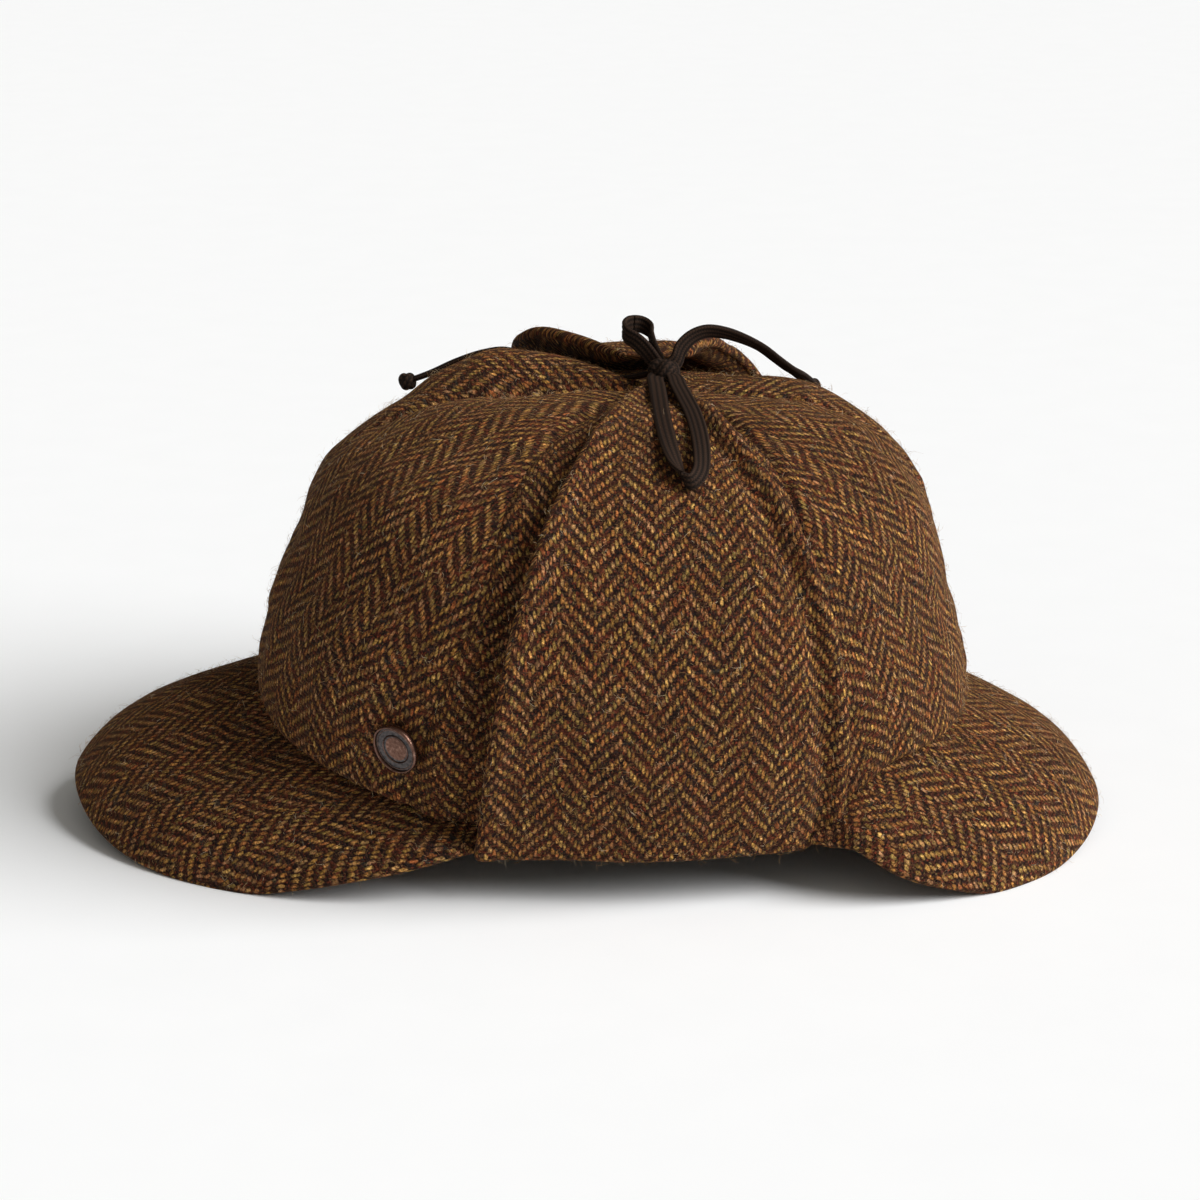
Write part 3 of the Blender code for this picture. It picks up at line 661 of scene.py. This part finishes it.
def flap_section(outer, inner, outward):
    """One closed section: the outer face, the far edge, the inner face and the near edge."""
    half_last, half_first = (outer[-1] - inner[-1]) / 2, (outer[0] - inner[0]) / 2
    last = half_round((outer[-1] + inner[-1]) / 2, half_last,
                      outward[-1] * np.linalg.norm(half_last), FLAP_EDGE_COLUMNS)
    first = half_round((outer[0] + inner[0]) / 2, -half_first,
                       -outward[0] * np.linalg.norm(half_first), FLAP_EDGE_COLUMNS)
    return np.array([*outer, *last[:-1], *inner[::-1], *first])


def smooth_route(route, step):
    """Points at an even step on a smooth curve through a route: x, y, z and tilt."""
    points = [np.array((x, y, CROWN_HEIGHT + above, tilt)) for x, y, above, tilt in route]
    ends = [2 * points[0] - points[1]] + points + [2 * points[-1] - points[-2]]
    dense = []
    for before, start, end, after in zip(ends, ends[1:], ends[2:], ends[3:]):
        for part in range(12):
            s = part / 12
            dense.append(0.5 * (2 * start + (end - before) * s
                                + (2 * before - 5 * start + 4 * end - after) * s**2
                                + (3 * start - before - 3 * end + after) * s**3))
    dense.append(points[-1])
    dense = np.array(dense)
    along = run_length(dense[:, :3], 0)
    count = round(along[-1] / step) + 1
    places = np.linspace(0.0, along[-1], count)
    return np.stack([np.interp(places, along, dense[:, k]) for k in range(4)], axis=-1), along[-1]


def braid_profile():
    """The flat braid's section, with lengthwise ribs: across and through, in metres."""
    turn = np.linspace(0, 2 * math.pi, BRAID_AROUND + 1)
    across = signed_power(np.cos(turn), BRAID_CORNERS) * BRAID_WIDTH / 2
    through = signed_power(np.sin(turn), BRAID_CORNERS) * BRAID_THICKNESS / 2
    ribs = 0.66 + 0.34 * np.abs(np.sin(math.pi * BRAID_RIBS * (across / BRAID_WIDTH + 0.5))) ** 0.7
    return across, through * ribs


def into_knots(route, far_end):
    """The route with its ends carried on into the knots that hold them."""
    start = (*KNOT_CENTRE[:2], KNOT_CENTRE[2] - CROWN_HEIGHT, route[0][3])
    if far_end == "object":
        return (start, *route, (*start[:3], route[-1][3]))
    last = np.array(route[-1])
    ahead = last[:3] - np.array(route[-2])[:3]
    tip = last[:3] + ahead * END_KNOT_RADIUS / np.linalg.norm(ahead)
    return (start, *route, (*tip, last[3]))


def braid(name, route, look):
    """A stretch of the flat braid as a ribbed tube, and the points that it follows."""
    places, length = smooth_route(route, BRAID_STEP)
    path = places[:, :3]
    ahead = unit(np.gradient(path, axis=0))
    upright = unit(np.array((0.0, 0.0, 1.0)) - ahead * ahead[:, 2:3])
    beside = np.cross(ahead, upright)
    tilt = np.radians(places[:, 3])[:, None]
    wide = upright * np.cos(tilt) + beside * np.sin(tilt)
    deep = np.cross(ahead, wide)
    across, through = braid_profile()
    close = np.ones(len(path))
    close[0] = close[-1] = 0.02
    close[1] = close[-2] = 0.75
    points = (path[:, None, :] + wide[:, None, :] * (across[None, :] * close[:, None])[..., None]
              + deep[:, None, :] * (through[None, :] * close[:, None])[..., None])
    girth = np.concatenate(([0.0], np.cumsum(np.hypot(np.diff(across), np.diff(through)))))
    u = girth[None, :] + 0 * close[:, None]
    v = run_length(path, 0)[:, None] + 0 * u
    piece = cloth_sheet(name + "_braid", points, u, v, look, closed_across=True)
    finish(piece, "braid", name)
    return piece, path, length


def knot_lump(name, centre, half_size, tube, look, start):
    """An overhand knot: a fat cord that follows a small three-lobed path."""
    around = np.linspace(0, 2 * math.pi, 97)[:, None]
    ring = np.linspace(0, 2 * math.pi, 17)[None, :]
    size = np.array(half_size)

    def follow(t):
        t = t + start
        x = (np.sin(t) + 2 * np.sin(2 * t)) / 3
        y = (np.cos(t) - 2 * np.cos(2 * t)) / 3
        z = -np.sin(3 * t)
        return np.stack((x, y, z * 0.75), axis=-1) * (size - tube)

    path = follow(around[:, 0])
    ahead = unit(follow(around[:, 0] + 0.01) - follow(around[:, 0] - 0.01))
    out = unit(path - ahead * np.sum(path * ahead, axis=-1, keepdims=True))
    side = np.cross(ahead, out)
    points = (path[:, None, :] + out[:, None, :] * (np.cos(ring) * tube * 0.8)[..., None]
              + side[:, None, :] * (np.sin(ring) * tube * 1.2)[..., None]) + np.array(centre)
    u = ring * tube + 0 * around
    v = around * float(np.mean(size)) + 0 * ring
    return cloth_sheet(name, points, u, v, look, closed_across=True)


def stray_fibres(name, pieces, count, seed, keep, look):
    """Short loose wool hairs that stand off the cloth, as fine tapered tubes."""
    draw = np.random.default_rng(seed)
    spots = []
    for piece in pieces:
        mesh = piece.data
        total = len(mesh.polygons)
        read = []
        for title, size in (("center", 3), ("normal", 3), ("area", 1)):
            values = np.empty(total * size)
            mesh.polygons.foreach_get(title, values)
            read.append(values.reshape(-1, size))
        spots.append(np.column_stack(read)[keep(*read[:2])])
    spots = np.concatenate(spots)
    chosen = spots[draw.choice(len(spots), count, p=spots[:, 6] / spots[:, 6].sum())]
    normal = chosen[:, 3:6]
    root = chosen[:, :3] + draw.normal(0, 0.0004, (count, 3)) - normal * 0.0002
    lying = draw.normal(size=(count, 3))
    lying = unit(lying - normal * np.sum(lying * normal, axis=1, keepdims=True))
    sideways = np.cross(normal, lying)
    lift = np.radians(draw.uniform(6, 52, count))[:, None]
    length = (draw.gamma(2.2, 0.00075, count) + 0.0006)[:, None]
    bend = draw.normal(0, 0.35, count)[:, None]
    ahead = lying * np.cos(lift) + normal * np.sin(lift)
    mid = root + ahead * length * 0.5
    tip = mid + (ahead * 0.75 + sideways * bend - normal * 0.35) * length * 0.5
    for place in (root, mid, tip):
        place[:, 2] = np.maximum(place[:, 2], FIBRE_RADIUS * 2)
    radius = draw.uniform(0.6, 1.3, count)
    curve = bpy.data.curves.new(name, "CURVE")
    curve.dimensions = "3D"
    curve.bevel_depth = FIBRE_RADIUS
    curve.bevel_resolution = 0
    curve.use_fill_caps = True
    for a, b, c, thick in zip(root, mid, tip, radius):
        spline = curve.splines.new("POLY")
        spline.points.add(2)
        spline.points.foreach_set("co", (*a, 1.0, *b, 1.0, *c, 1.0))
        spline.points.foreach_set("radius", [thick * share for share in FIBRE_TAPER])
    curve.materials.append(look)
    finish(placed(name, curve), "tweed")


def stud(look, dark_look):
    """The stud, turned: a rolled rim, a sunk ring with a fine bead, and a plain dished middle."""
    azimuth = np.array([math.radians(STUD_AZIMUTH)])
    at = np.array([STUD_AT])
    seat = Vector(crown_surface(azimuth, at, np.array([0.0]))[0])
    facing = STUD_FACING.normalized()
    made = bmesh.new()
    profile = [made.verts.new((STUD_RADIUS * radius, 0.0, STUD_THICKNESS * height))
               for radius, height in STUD_PROFILE]
    edges = [made.edges.new(pair) for pair in zip(profile, profile[1:])]
    bmesh.ops.spin(made, geom=profile + edges, cent=(0, 0, 0), axis=(0, 0, 1),
                   angle=2 * math.pi, steps=STUD_TURNS, use_merge=True, use_duplicate=False)
    bmesh.ops.remove_doubles(made, verts=made.verts, dist=1e-6)
    bmesh.ops.recalc_face_normals(made, faces=made.faces)
    weave = made.loops.layers.uv.new("weave")
    for face in made.faces:
        middle = face.calc_center_median()
        radius = math.hypot(middle.x, middle.y) / STUD_RADIUS
        low = middle.z / STUD_THICKNESS
        sunk = STUD_DARK_INSIDE < radius < STUD_DARK_OUTSIDE and low < STUD_DARK_BELOW
        face.material_index = 1 if sunk else 0
        face.smooth = True
        for loop in face.loops:
            loop[weave].uv = (loop.vert.co.x, loop.vert.co.y)
    turn = Vector((0, 0, 1)).rotation_difference(facing).to_matrix().to_4x4()
    made.transform(Matrix.Translation(seat + facing * STUD_STAND) @ turn)
    piece = meshed("stud_turned", made, look, dark_look)
    piece.data.set_sharp_from_angle(angle=STUD_SHARP_ANGLE)
    finish(piece, "aged_copper", "stud")


class Graph:
    """Short calls for wiring one node tree."""

    def __init__(self, tree):
        self.tree = tree

    def node(self, kind, inputs=(), **settings):
        """A new node; inputs pairs each input's name or number with a value or a socket."""
        made = self.tree.nodes.new(kind)
        for key, value in settings.items():
            setattr(made, key, value)
        for key, value in dict(inputs).items():
            self.wire(value, made.inputs[key])
        return made

    def wire(self, value, socket):
        if isinstance(value, bpy.types.NodeSocket):
            self.tree.links.new(value, socket)
        else:
            socket.default_value = value

    def math(self, operation, *values):
        return self.node("ShaderNodeMath", enumerate(values), operation=operation).outputs[0]

    plus = partialmethod(math, "ADD")
    minus = partialmethod(math, "SUBTRACT")
    times = partialmethod(math, "MULTIPLY")
    over = partialmethod(math, "DIVIDE")
    floor = partialmethod(math, "FLOOR")
    fract = partialmethod(math, "FRACT")
    modulo = partialmethod(math, "FLOORED_MODULO")
    power = partialmethod(math, "POWER")
    absolute = partialmethod(math, "ABSOLUTE")
    sine = partialmethod(math, "SINE")

    def weave(self):
        """Where each place lies on its own cloth, in metres."""
        return self.node("ShaderNodeUVMap", uv_map="weave").outputs[0]

    def noise(self, vector, scale, detail=2.0, roughness=0.5, output="Fac"):
        return self.node("ShaderNodeTexNoise", {"Vector": vector, "Scale": scale, "Detail": detail,
                                                "Roughness": roughness}).outputs[output]

    def cells(self, vector, scale):
        return self.node("ShaderNodeTexVoronoi", {"Vector": vector, "Scale": scale}, feature="F1").outputs

    def channels(self, colour):
        return self.node("ShaderNodeSeparateColor", {0: colour}).outputs

    def stretched(self, vector, scale):
        return self.node("ShaderNodeVectorMath", {0: vector, 1: scale}, operation="MULTIPLY").outputs[0]

    def brightened(self, colour, strength):
        return self.node("ShaderNodeVectorMath", {0: colour, "Scale": strength}, operation="SCALE").outputs[0]

    def random(self, *values):
        joined = self.node("ShaderNodeCombineXYZ", enumerate(values)).outputs[0]
        return self.node("ShaderNodeTexWhiteNoise", {"Vector": joined}, noise_dimensions="3D").outputs["Value"]

    def shaded(self, value, stops, kind):
        made = self.node("ShaderNodeValToRGB", {"Fac": value})
        bar = made.color_ramp
        bar.interpolation = kind
        while len(bar.elements) < len(stops):
            bar.elements.new(0.5)
        for element, (place, colour) in zip(bar.elements, stops):
            element.position = place
            element.color = colour
        return made.outputs["Color"]

    def ramp(self, value, stops, smooth=False):
        """Colours from 0 to 255 along a value, in steps or smooth."""
        stops = [(place, linear(*colour)) for place, colour in stops]
        return self.shaded(value, stops, "LINEAR" if smooth else "CONSTANT")

    def mix(self, share, first, second):
        return self.node("ShaderNodeMix", {"Factor": share, 6: first, 7: second}, data_type="RGBA").outputs[2]

    def between(self, value, low, high, to_low=0.0, to_high=1.0):
        ends = {"From Min": low, "From Max": high, "To Min": to_low, "To Max": to_high}
        return self.node("ShaderNodeMapRange", {"Value": value, **ends},
                         interpolation_type="SMOOTHSTEP").outputs["Result"]

    def bump(self, height, strength, distance, shader):
        made = self.node("ShaderNodeBump", {"Height": height, "Strength": strength, "Distance": distance})
        self.wire(made.outputs[0], shader.inputs["Normal"])


def linear(red, green, blue):
    """A colour given as 0 to 255 on a screen, as the shader's linear values."""
    shares = [value / 255 for value in (red, green, blue)]
    return (*(share / 12.92 if share <= 0.04045 else ((share + 0.055) / 1.055) ** 2.4 for share in shares), 1.0)


def new_group(name, inputs, outputs):
    """A shader node group: itself, its graph, what it is given and what it returns."""
    group = bpy.data.node_groups.new(name, "ShaderNodeTree")
    for in_out, sockets in (("INPUT", inputs), ("OUTPUT", outputs)):
        for title, kind, *value in sockets:
            socket = group.interface.new_socket(title, in_out=in_out, socket_type="NodeSocket" + kind)
            if value:
                socket.default_value = value[0]
    g = Graph(group)
    return group, g, g.node("NodeGroupInput").outputs, g.node("NodeGroupOutput").inputs


def herringbone_group():
    """Two and two herringbone tweed: pale yarn up the columns, dark yarn across."""
    group, g, given, result = new_group(
        "herringbone_tweed",
        (("Weave", "Vector"), ("Yarn Width", "Float", 0.001125), ("Pick Height", "Float", 0.00122),
         ("Column Yarns", "Float", 8.0), ("Wander", "Float", 2.4), ("Shake", "Float", 1.0),
         ("Heather", "Float", 0.6), ("Hairs", "Float", 0.6)),
        (("Colour", "Color"), ("Height", "Float")))
    weave = given["Weave"]
    parts = g.node("ShaderNodeSeparateXYZ", {0: weave})
    slow = g.channels(g.noise(weave, 60.0, 2.0, output="Color"))
    quick = g.channels(g.noise(weave, 560.0, 3.0, 0.6, output="Color"))

    def wander(along, size, channel):
        moved = g.times(g.minus(slow[channel], 0.5), given["Wander"])
        shaken = g.times(g.minus(quick[channel], 0.5), given["Shake"])
        return g.plus(g.over(along, size), g.plus(moved, shaken))

    # Which yarn and which pick, and how far along its float each place lies
    x = wander(parts.outputs[0], given["Yarn Width"], 0)
    y = wander(parts.outputs[1], given["Pick Height"], 1)
    yarn = g.floor(x)
    pick = g.floor(y)
    column = g.floor(g.over(g.plus(yarn, 0.5), given["Column Yarns"]))
    odd = g.modulo(column, 2.0)
    sign = g.minus(1.0, g.times(odd, 2.0))
    shift = g.times(odd, 2.0)
    step = g.minus(g.times(sign, g.plus(yarn, 0.5)), 0.5)
    warp_run = g.plus(y, g.plus(step, shift))
    warp_at = g.modulo(warp_run, 4.0)
    weft_run = g.plus(g.plus(pick, g.times(sign, x)), shift)
    float_random = g.random(yarn, g.floor(g.over(warp_run, 4.0)), 3.0)
    second_random = g.random(yarn, g.floor(g.over(warp_run, 4.0)), 5.0)
    yarn_random = g.random(yarn, 7.0, g.floor(g.over(y, 17.0)))
    pick_random = g.random(pick, g.floor(g.over(weft_run, 4.0)), 9.0)

    # The pale float: a soft spindle with hairy edges, leaning a little either way
    fibres_up = g.noise(g.stretched(weave, (7200.0, 1300.0, 1.0)), 1.0, 3.0, 0.65)
    fibres_across = g.noise(g.stretched(weave, (1300.0, 7200.0, 1.0)), 1.0, 3.0, 0.65)
    along = g.minus(g.times(warp_at, 0.5), 0.5)
    lean = g.times(g.minus(second_random, 0.42), 0.55)
    aside = g.plus(g.minus(g.fract(x), 0.5), g.times(along, lean))
    thin = g.power(g.absolute(g.times(aside, 2.05)), 2.0)
    long = g.power(g.absolute(g.times(along, 1.80)), 2.0)
    curl = g.noise(weave, 1150.0, 4.0, 0.75)
    speck = g.channels(g.cells(g.stretched(weave, (2500.0, 1750.0, 1.0)), 1.0)["Color"])
    rough = g.plus(g.times(g.minus(fibres_up, 0.5), 1.6), g.times(g.minus(curl, 0.5), 3.2))
    rough = g.plus(rough, g.times(g.minus(speck[2], 0.5), 0.55))
    spindle = g.plus(g.plus(thin, long), rough)
    pale = g.between(spindle, 0.25, 1.30, 1.0, 0.0)

    tone = g.fract(g.plus(g.times(float_random, 0.62), g.times(yarn_random, 0.45)))
    light = g.mix(g.between(fibres_up, 0.42, 0.60),
                  g.ramp(tone, LIGHT_YARN), g.ramp(second_random, LIGHT_YARN))
    light_strength = g.times(g.between(fibres_up, 0.28, 0.72, 0.72, 1.30),
                             g.between(second_random, 0.0, 1.0, 0.72, 1.22))
    # Each dark pick is painted darker towards its top and bottom edges, where it meets the next: painted shade
    # between the picks, over a random tone. Its rise is also its height.
    rise = g.sine(g.times(g.fract(y), math.pi))
    dark_tone_and_pick_shade = g.times(g.between(fibres_across, 0.28, 0.72, 0.58, 1.42),
                            g.between(rise, 0.0, 0.8, 0.72, 1.08))
    dark = g.mix(g.between(fibres_across, 0.54, 0.66),
                 g.ramp(pick_random, DARK_YARN), linear(78, 41, 27))
    cloth = g.mix(pale, g.brightened(dark, dark_tone_and_pick_shade), g.brightened(light, light_strength))

    # Loose fibres over both: brown heather, rust and tan specks, fine curved hairs, pale flecks
    heather = g.noise(weave, 820.0, 4.0, 0.75)
    brown = g.times(g.between(heather, 0.54, 0.66), given["Heather"])
    cloth = g.mix(g.times(brown, 0.50), cloth, linear(114, 70, 42))
    cloth = g.mix(g.between(speck[1], 0.84, 0.88, 0.0, 0.38), cloth, linear(124, 54, 30))
    cloth = g.mix(g.between(speck[1], 0.06, 0.10, 0.24, 0.0), cloth, linear(146, 120, 72))
    cloth = g.brightened(cloth, g.between(curl, 0.36, 0.64, 0.40, 1.44))
    cloth = g.brightened(cloth, g.between(speck[0], 0.0, 1.0, 0.42, 1.52))
    hair_field = g.noise(weave, 330.0, 3.0, 0.6)
    hair_line = g.between(g.absolute(g.minus(hair_field, 0.5)), 0.0, 0.0085, 1.0, 0.0)
    hair_where = g.between(g.noise(weave, 190.0, 1.0), 0.46, 0.60)
    hairs = g.times(g.times(hair_line, hair_where), given["Hairs"])
    cloth = g.mix(g.times(hairs, 0.5), cloth, linear(170, 128, 84))
    patch = g.noise(weave, 30.0, 2.0)
    cloth = g.brightened(cloth, g.between(patch, 0.3, 0.7, 0.90, 1.08))
    fleck = g.cells(weave, 75.0)
    fleck_random = g.channels(fleck["Color"])
    flecks = g.times(g.between(fleck["Distance"], 0.016, 0.030, 1.0, 0.0),
                     g.math("GREATER_THAN", fleck_random[0], 0.88))
    cloth = g.mix(g.times(flecks, 0.6), cloth, linear(206, 190, 158))
    g.wire(cloth, result["Colour"])
    relief = g.plus(pale, g.times(rise, 0.35))
    relief = g.plus(relief, g.times(heather, 0.9))
    relief = g.plus(relief, g.times(hairs, 0.25))
    g.wire(relief, result["Height"])
    return group


def new_look(name, fixed):
    """A material with these of its shader's own sockets set, its graph and its shader."""
    look = bpy.data.materials.new(name)
    look.use_nodes = True
    shader = look.node_tree.nodes["Principled BSDF"]
    for title, value in fixed.items():
        shader.inputs[title].default_value = value
    return look, Graph(look.node_tree), shader


def tweed_look():
    """Herringbone wool, dull and a little hairy."""
    look, g, shader = new_look("herringbone_tweed", {
        "Roughness": 0.95, "Specular IOR Level": 0.10, "Sheen Weight": 0.22, "Sheen Roughness": 0.40,
        "Sheen Tint": linear(168, 124, 88)})
    cloth = g.node("ShaderNodeGroup", node_tree=herringbone_group())
    g.wire(g.weave(), cloth.inputs["Weave"])
    g.wire(cloth.outputs["Colour"], shader.inputs["Base Color"])
    g.bump(cloth.outputs["Height"], 0.85, 0.00055, shader)
    return look


def braid_look():
    """Dark flat braid: chevron stitches across lengthwise ribs, with painted shade in their grooves and painted
    highlight on their crowns.
    """
    look, g, shader = new_look("dark_braid", {
        "Roughness": 0.80, "Specular IOR Level": 0.12, "Sheen Weight": 0.06, "Sheen Roughness": 0.4,
        "Sheen Tint": linear(150, 116, 92)})
    where = g.weave()
    parts = g.node("ShaderNodeSeparateXYZ", {0: where})
    ribs = g.times(parts.outputs[0], 1 / STITCH_RIB)
    lean = g.absolute(g.minus(g.fract(ribs), 0.5))
    stitch = g.fract(g.plus(g.times(parts.outputs[1], 1 / STITCH_LENGTH), g.times(lean, 1.5)))
    stitch_rise_and_shade = g.sine(g.times(stitch, math.pi))
    rib_rise_and_shade = g.sine(g.times(g.fract(ribs), math.pi))
    fibres = g.noise(g.stretched(where, (5200.0, 1400.0, 1.0)), 1.0, 3.0, 0.65)
    # Painted shade and painted highlight: darker in the grooves between ribs and between stitches and lighter
    # on their crowns, over the random tone of the fibres.
    tone = g.plus(g.plus(g.times(stitch_rise_and_shade, 0.20), g.times(fibres, 0.45)), g.times(rib_rise_and_shade, 0.35))
    stops = ((0.30, (10, 6, 4)), (0.58, (30, 20, 14)), (0.86, (62, 44, 33)))
    g.wire(g.ramp(tone, stops, smooth=True), shader.inputs["Base Color"])
    height = g.plus(g.times(stitch_rise_and_shade, 0.5), g.plus(g.times(rib_rise_and_shade, 0.5), g.times(fibres, 0.5)))
    g.bump(height, 0.7, 0.00022, shader)
    return look


def worn_metal_group():
    """Blotched patina with brighter rubbed spots and fine pits."""
    group, g, given, result = new_group(
        "worn_metal",
        (("Surface", "Vector"), ("Dark", "Color"), ("Middle", "Color"), ("Bright", "Color"),
         ("Roughness", "Float")),
        (("Colour", "Color"), ("Worn Roughness", "Float"), ("Height", "Float")))
    blotch = g.noise(given["Surface"], 900.0, 4.0, 0.6)
    colour = g.mix(g.between(blotch, 0.30, 0.50), given["Dark"], given["Middle"])
    g.wire(g.mix(g.between(blotch, 0.50, 0.72), colour, given["Bright"]), result["Colour"])
    rubbed = g.between(blotch, 0.3, 0.7, 0.14, -0.06)
    g.wire(g.plus(given["Roughness"], rubbed), result["Worn Roughness"])
    g.wire(g.noise(given["Surface"], 2600.0, 3.0, 0.6), result["Height"])
    return group


def metal_look(name, group, dark, middle, bright, roughness):
    """Worn metal in three colours, from 0 to 255, and with its own roughness."""
    look, g, shader = new_look(name, {"Metallic": 1.0})
    worn = g.node("ShaderNodeGroup", node_tree=group)
    for title, value in (("Surface", g.weave()), ("Dark", linear(*dark)), ("Middle", linear(*middle)),
                         ("Bright", linear(*bright)), ("Roughness", roughness)):
        g.wire(value, worn.inputs[title])
    g.wire(worn.outputs["Colour"], shader.inputs["Base Color"])
    g.wire(worn.outputs["Worn Roughness"], shader.inputs["Roughness"])
    g.bump(worn.outputs["Height"], 0.3, 0.00008, shader)
    return look


def fibre_look():
    """Loose wool hairs, from rust and olive to nearly white."""
    look, g, shader = new_look("wool_hair", {"Roughness": 0.7, "Specular IOR Level": 0.3})
    pick = g.noise(g.node("ShaderNodeTexCoord").outputs["Object"], 260.0, 1.0)
    stops = ((0.30, (96, 58, 36)), (0.44, (150, 108, 62)), (0.56, (176, 140, 92)), (0.66, (222, 200, 166)))
    g.wire(g.ramp(pick, stops, smooth=True), shader.inputs["Base Color"])
    return look


def floor():
    """A wide pale floor, very slightly uneven in tone."""
    made = bmesh.new()
    bmesh.ops.create_grid(made, x_segments=1, y_segments=1, size=6.0)
    look, g, shader = new_look("floor_white", {"Roughness": 0.9})
    grain = g.noise(g.node("ShaderNodeTexCoord").outputs["Object"], 40.0, 2.0)
    g.wire(g.shaded(grain, ((0.2, FLOOR_DARK), (0.8, FLOOR_LIGHT)), "LINEAR"), shader.inputs["Base Color"])
    meshed("floor", made, look)


def studio():
    """A white studio: a soft key from the right and above, and light all round that is strongest from the front
    right.
    """
    world = bpy.data.worlds.new("studio")
    world.use_nodes = True
    g = Graph(world.node_tree)
    toward = g.node("ShaderNodeVectorMath", {0: g.node("ShaderNodeTexCoord").outputs["Generated"],
                                             1: Vector(FILL_FROM).normalized()}, operation="DOT_PRODUCT")
    background = world.node_tree.nodes["Background"]
    background.inputs["Color"].default_value = WORLD_COLOUR
    g.wire(g.between(toward.outputs["Value"], -0.5, 1.0, FILL_LOW, FILL_HIGH), background.inputs["Strength"])
    bpy.context.scene.world = world
    key = bpy.data.lights.new("key", "SUN")
    key.energy = KEY_STRENGTH
    key.color = KEY_COLOUR
    key.angle = KEY_SPREAD
    placed("key", key).rotation_euler = (-Vector(KEY_FROM)).to_track_quat("-Z", "Y").to_euler()


camera()
bpy.context.scene.view_settings.view_transform = "Standard"
braid_brown = braid_look()
cords = {}
for cord_name, route, far_end in (
        ("tie_loop_near", LOOP_NEAR, "object"), ("tie_loop_far", LOOP_FAR, "object"),
        ("tie_end_back", END_BACK, "knot"), ("tie_end_front", END_FRONT, "knot")):
    piece, path, length = braid(cord_name, into_knots(route, far_end), braid_brown)
    cords[cord_name] = path

for cord_name, knot_node in (("tie_end_back", "tie_end_knot_back"), ("tie_end_front", "tie_end_knot_front")):
    path = cords[cord_name]
    ahead = unit(path[-1] - path[-4])
    centre = path[-1] + ahead * END_KNOT_STAND
    lump = knot_lump(knot_node + "_lump", centre, (END_KNOT_RADIUS * 1.12,) * 3, END_KNOT_TUBE,
                     braid_brown, 0.6)
    finish(lump, "braid", knot_node)
knot = knot_lump("tie_knot_wraps", KNOT_CENTRE, KNOT_HALF_SIZE, KNOT_TUBE, braid_brown, 0.0)
finish(knot, "braid", "tie_knot")

tweed = tweed_look()
gores = [gore(name, seam, weave_turn, tweed) for name, seam, _, _, weave_turn in GORES]
peaks = [peak("front_peak", math.pi, math.radians(67.0), FRONT_REACH, FRONT_RIM, tweed),
         peak("back_peak", 0.0, math.radians(53.0), BACK_REACH, BACK_RIM, tweed)]
flaps = []
for name, side, table in (("ear_flap_near", -1, FLAP_NEAR), ("ear_flap_far", 1, FLAP_FAR)):
    piece, flat, area = ear_flap(name, side, table, tweed)
    flaps.append(piece)
worn_metal = worn_metal_group()
stud(metal_look("aged_copper", worn_metal, (86, 62, 53), (114, 84, 72), (150, 118, 103), 0.30),
     metal_look("dark_patina", worn_metal, (58, 56, 58), (88, 84, 84), (116, 103, 97), 0.42))
wool = fibre_look()
stray_fibres("fuzz_crown_near", gores, 8000, 5, lambda centre, normal: centre[:, 1] < 0, wool)
stray_fibres("fuzz_crown_far", gores, 8000, 8, lambda centre, normal: centre[:, 1] >= 0, wool)
stray_fibres("fuzz_peaks", peaks, 7500, 6, lambda centre, normal: normal[:, 2] > -0.1, wool)
stray_fibres("fuzz_flaps", flaps, 7500, 7,
             lambda centre, normal: normal[:, 1] * np.sign(centre[:, 1]) + 0.3 * normal[:, 2] > -0.35, wool)
floor()
studio()
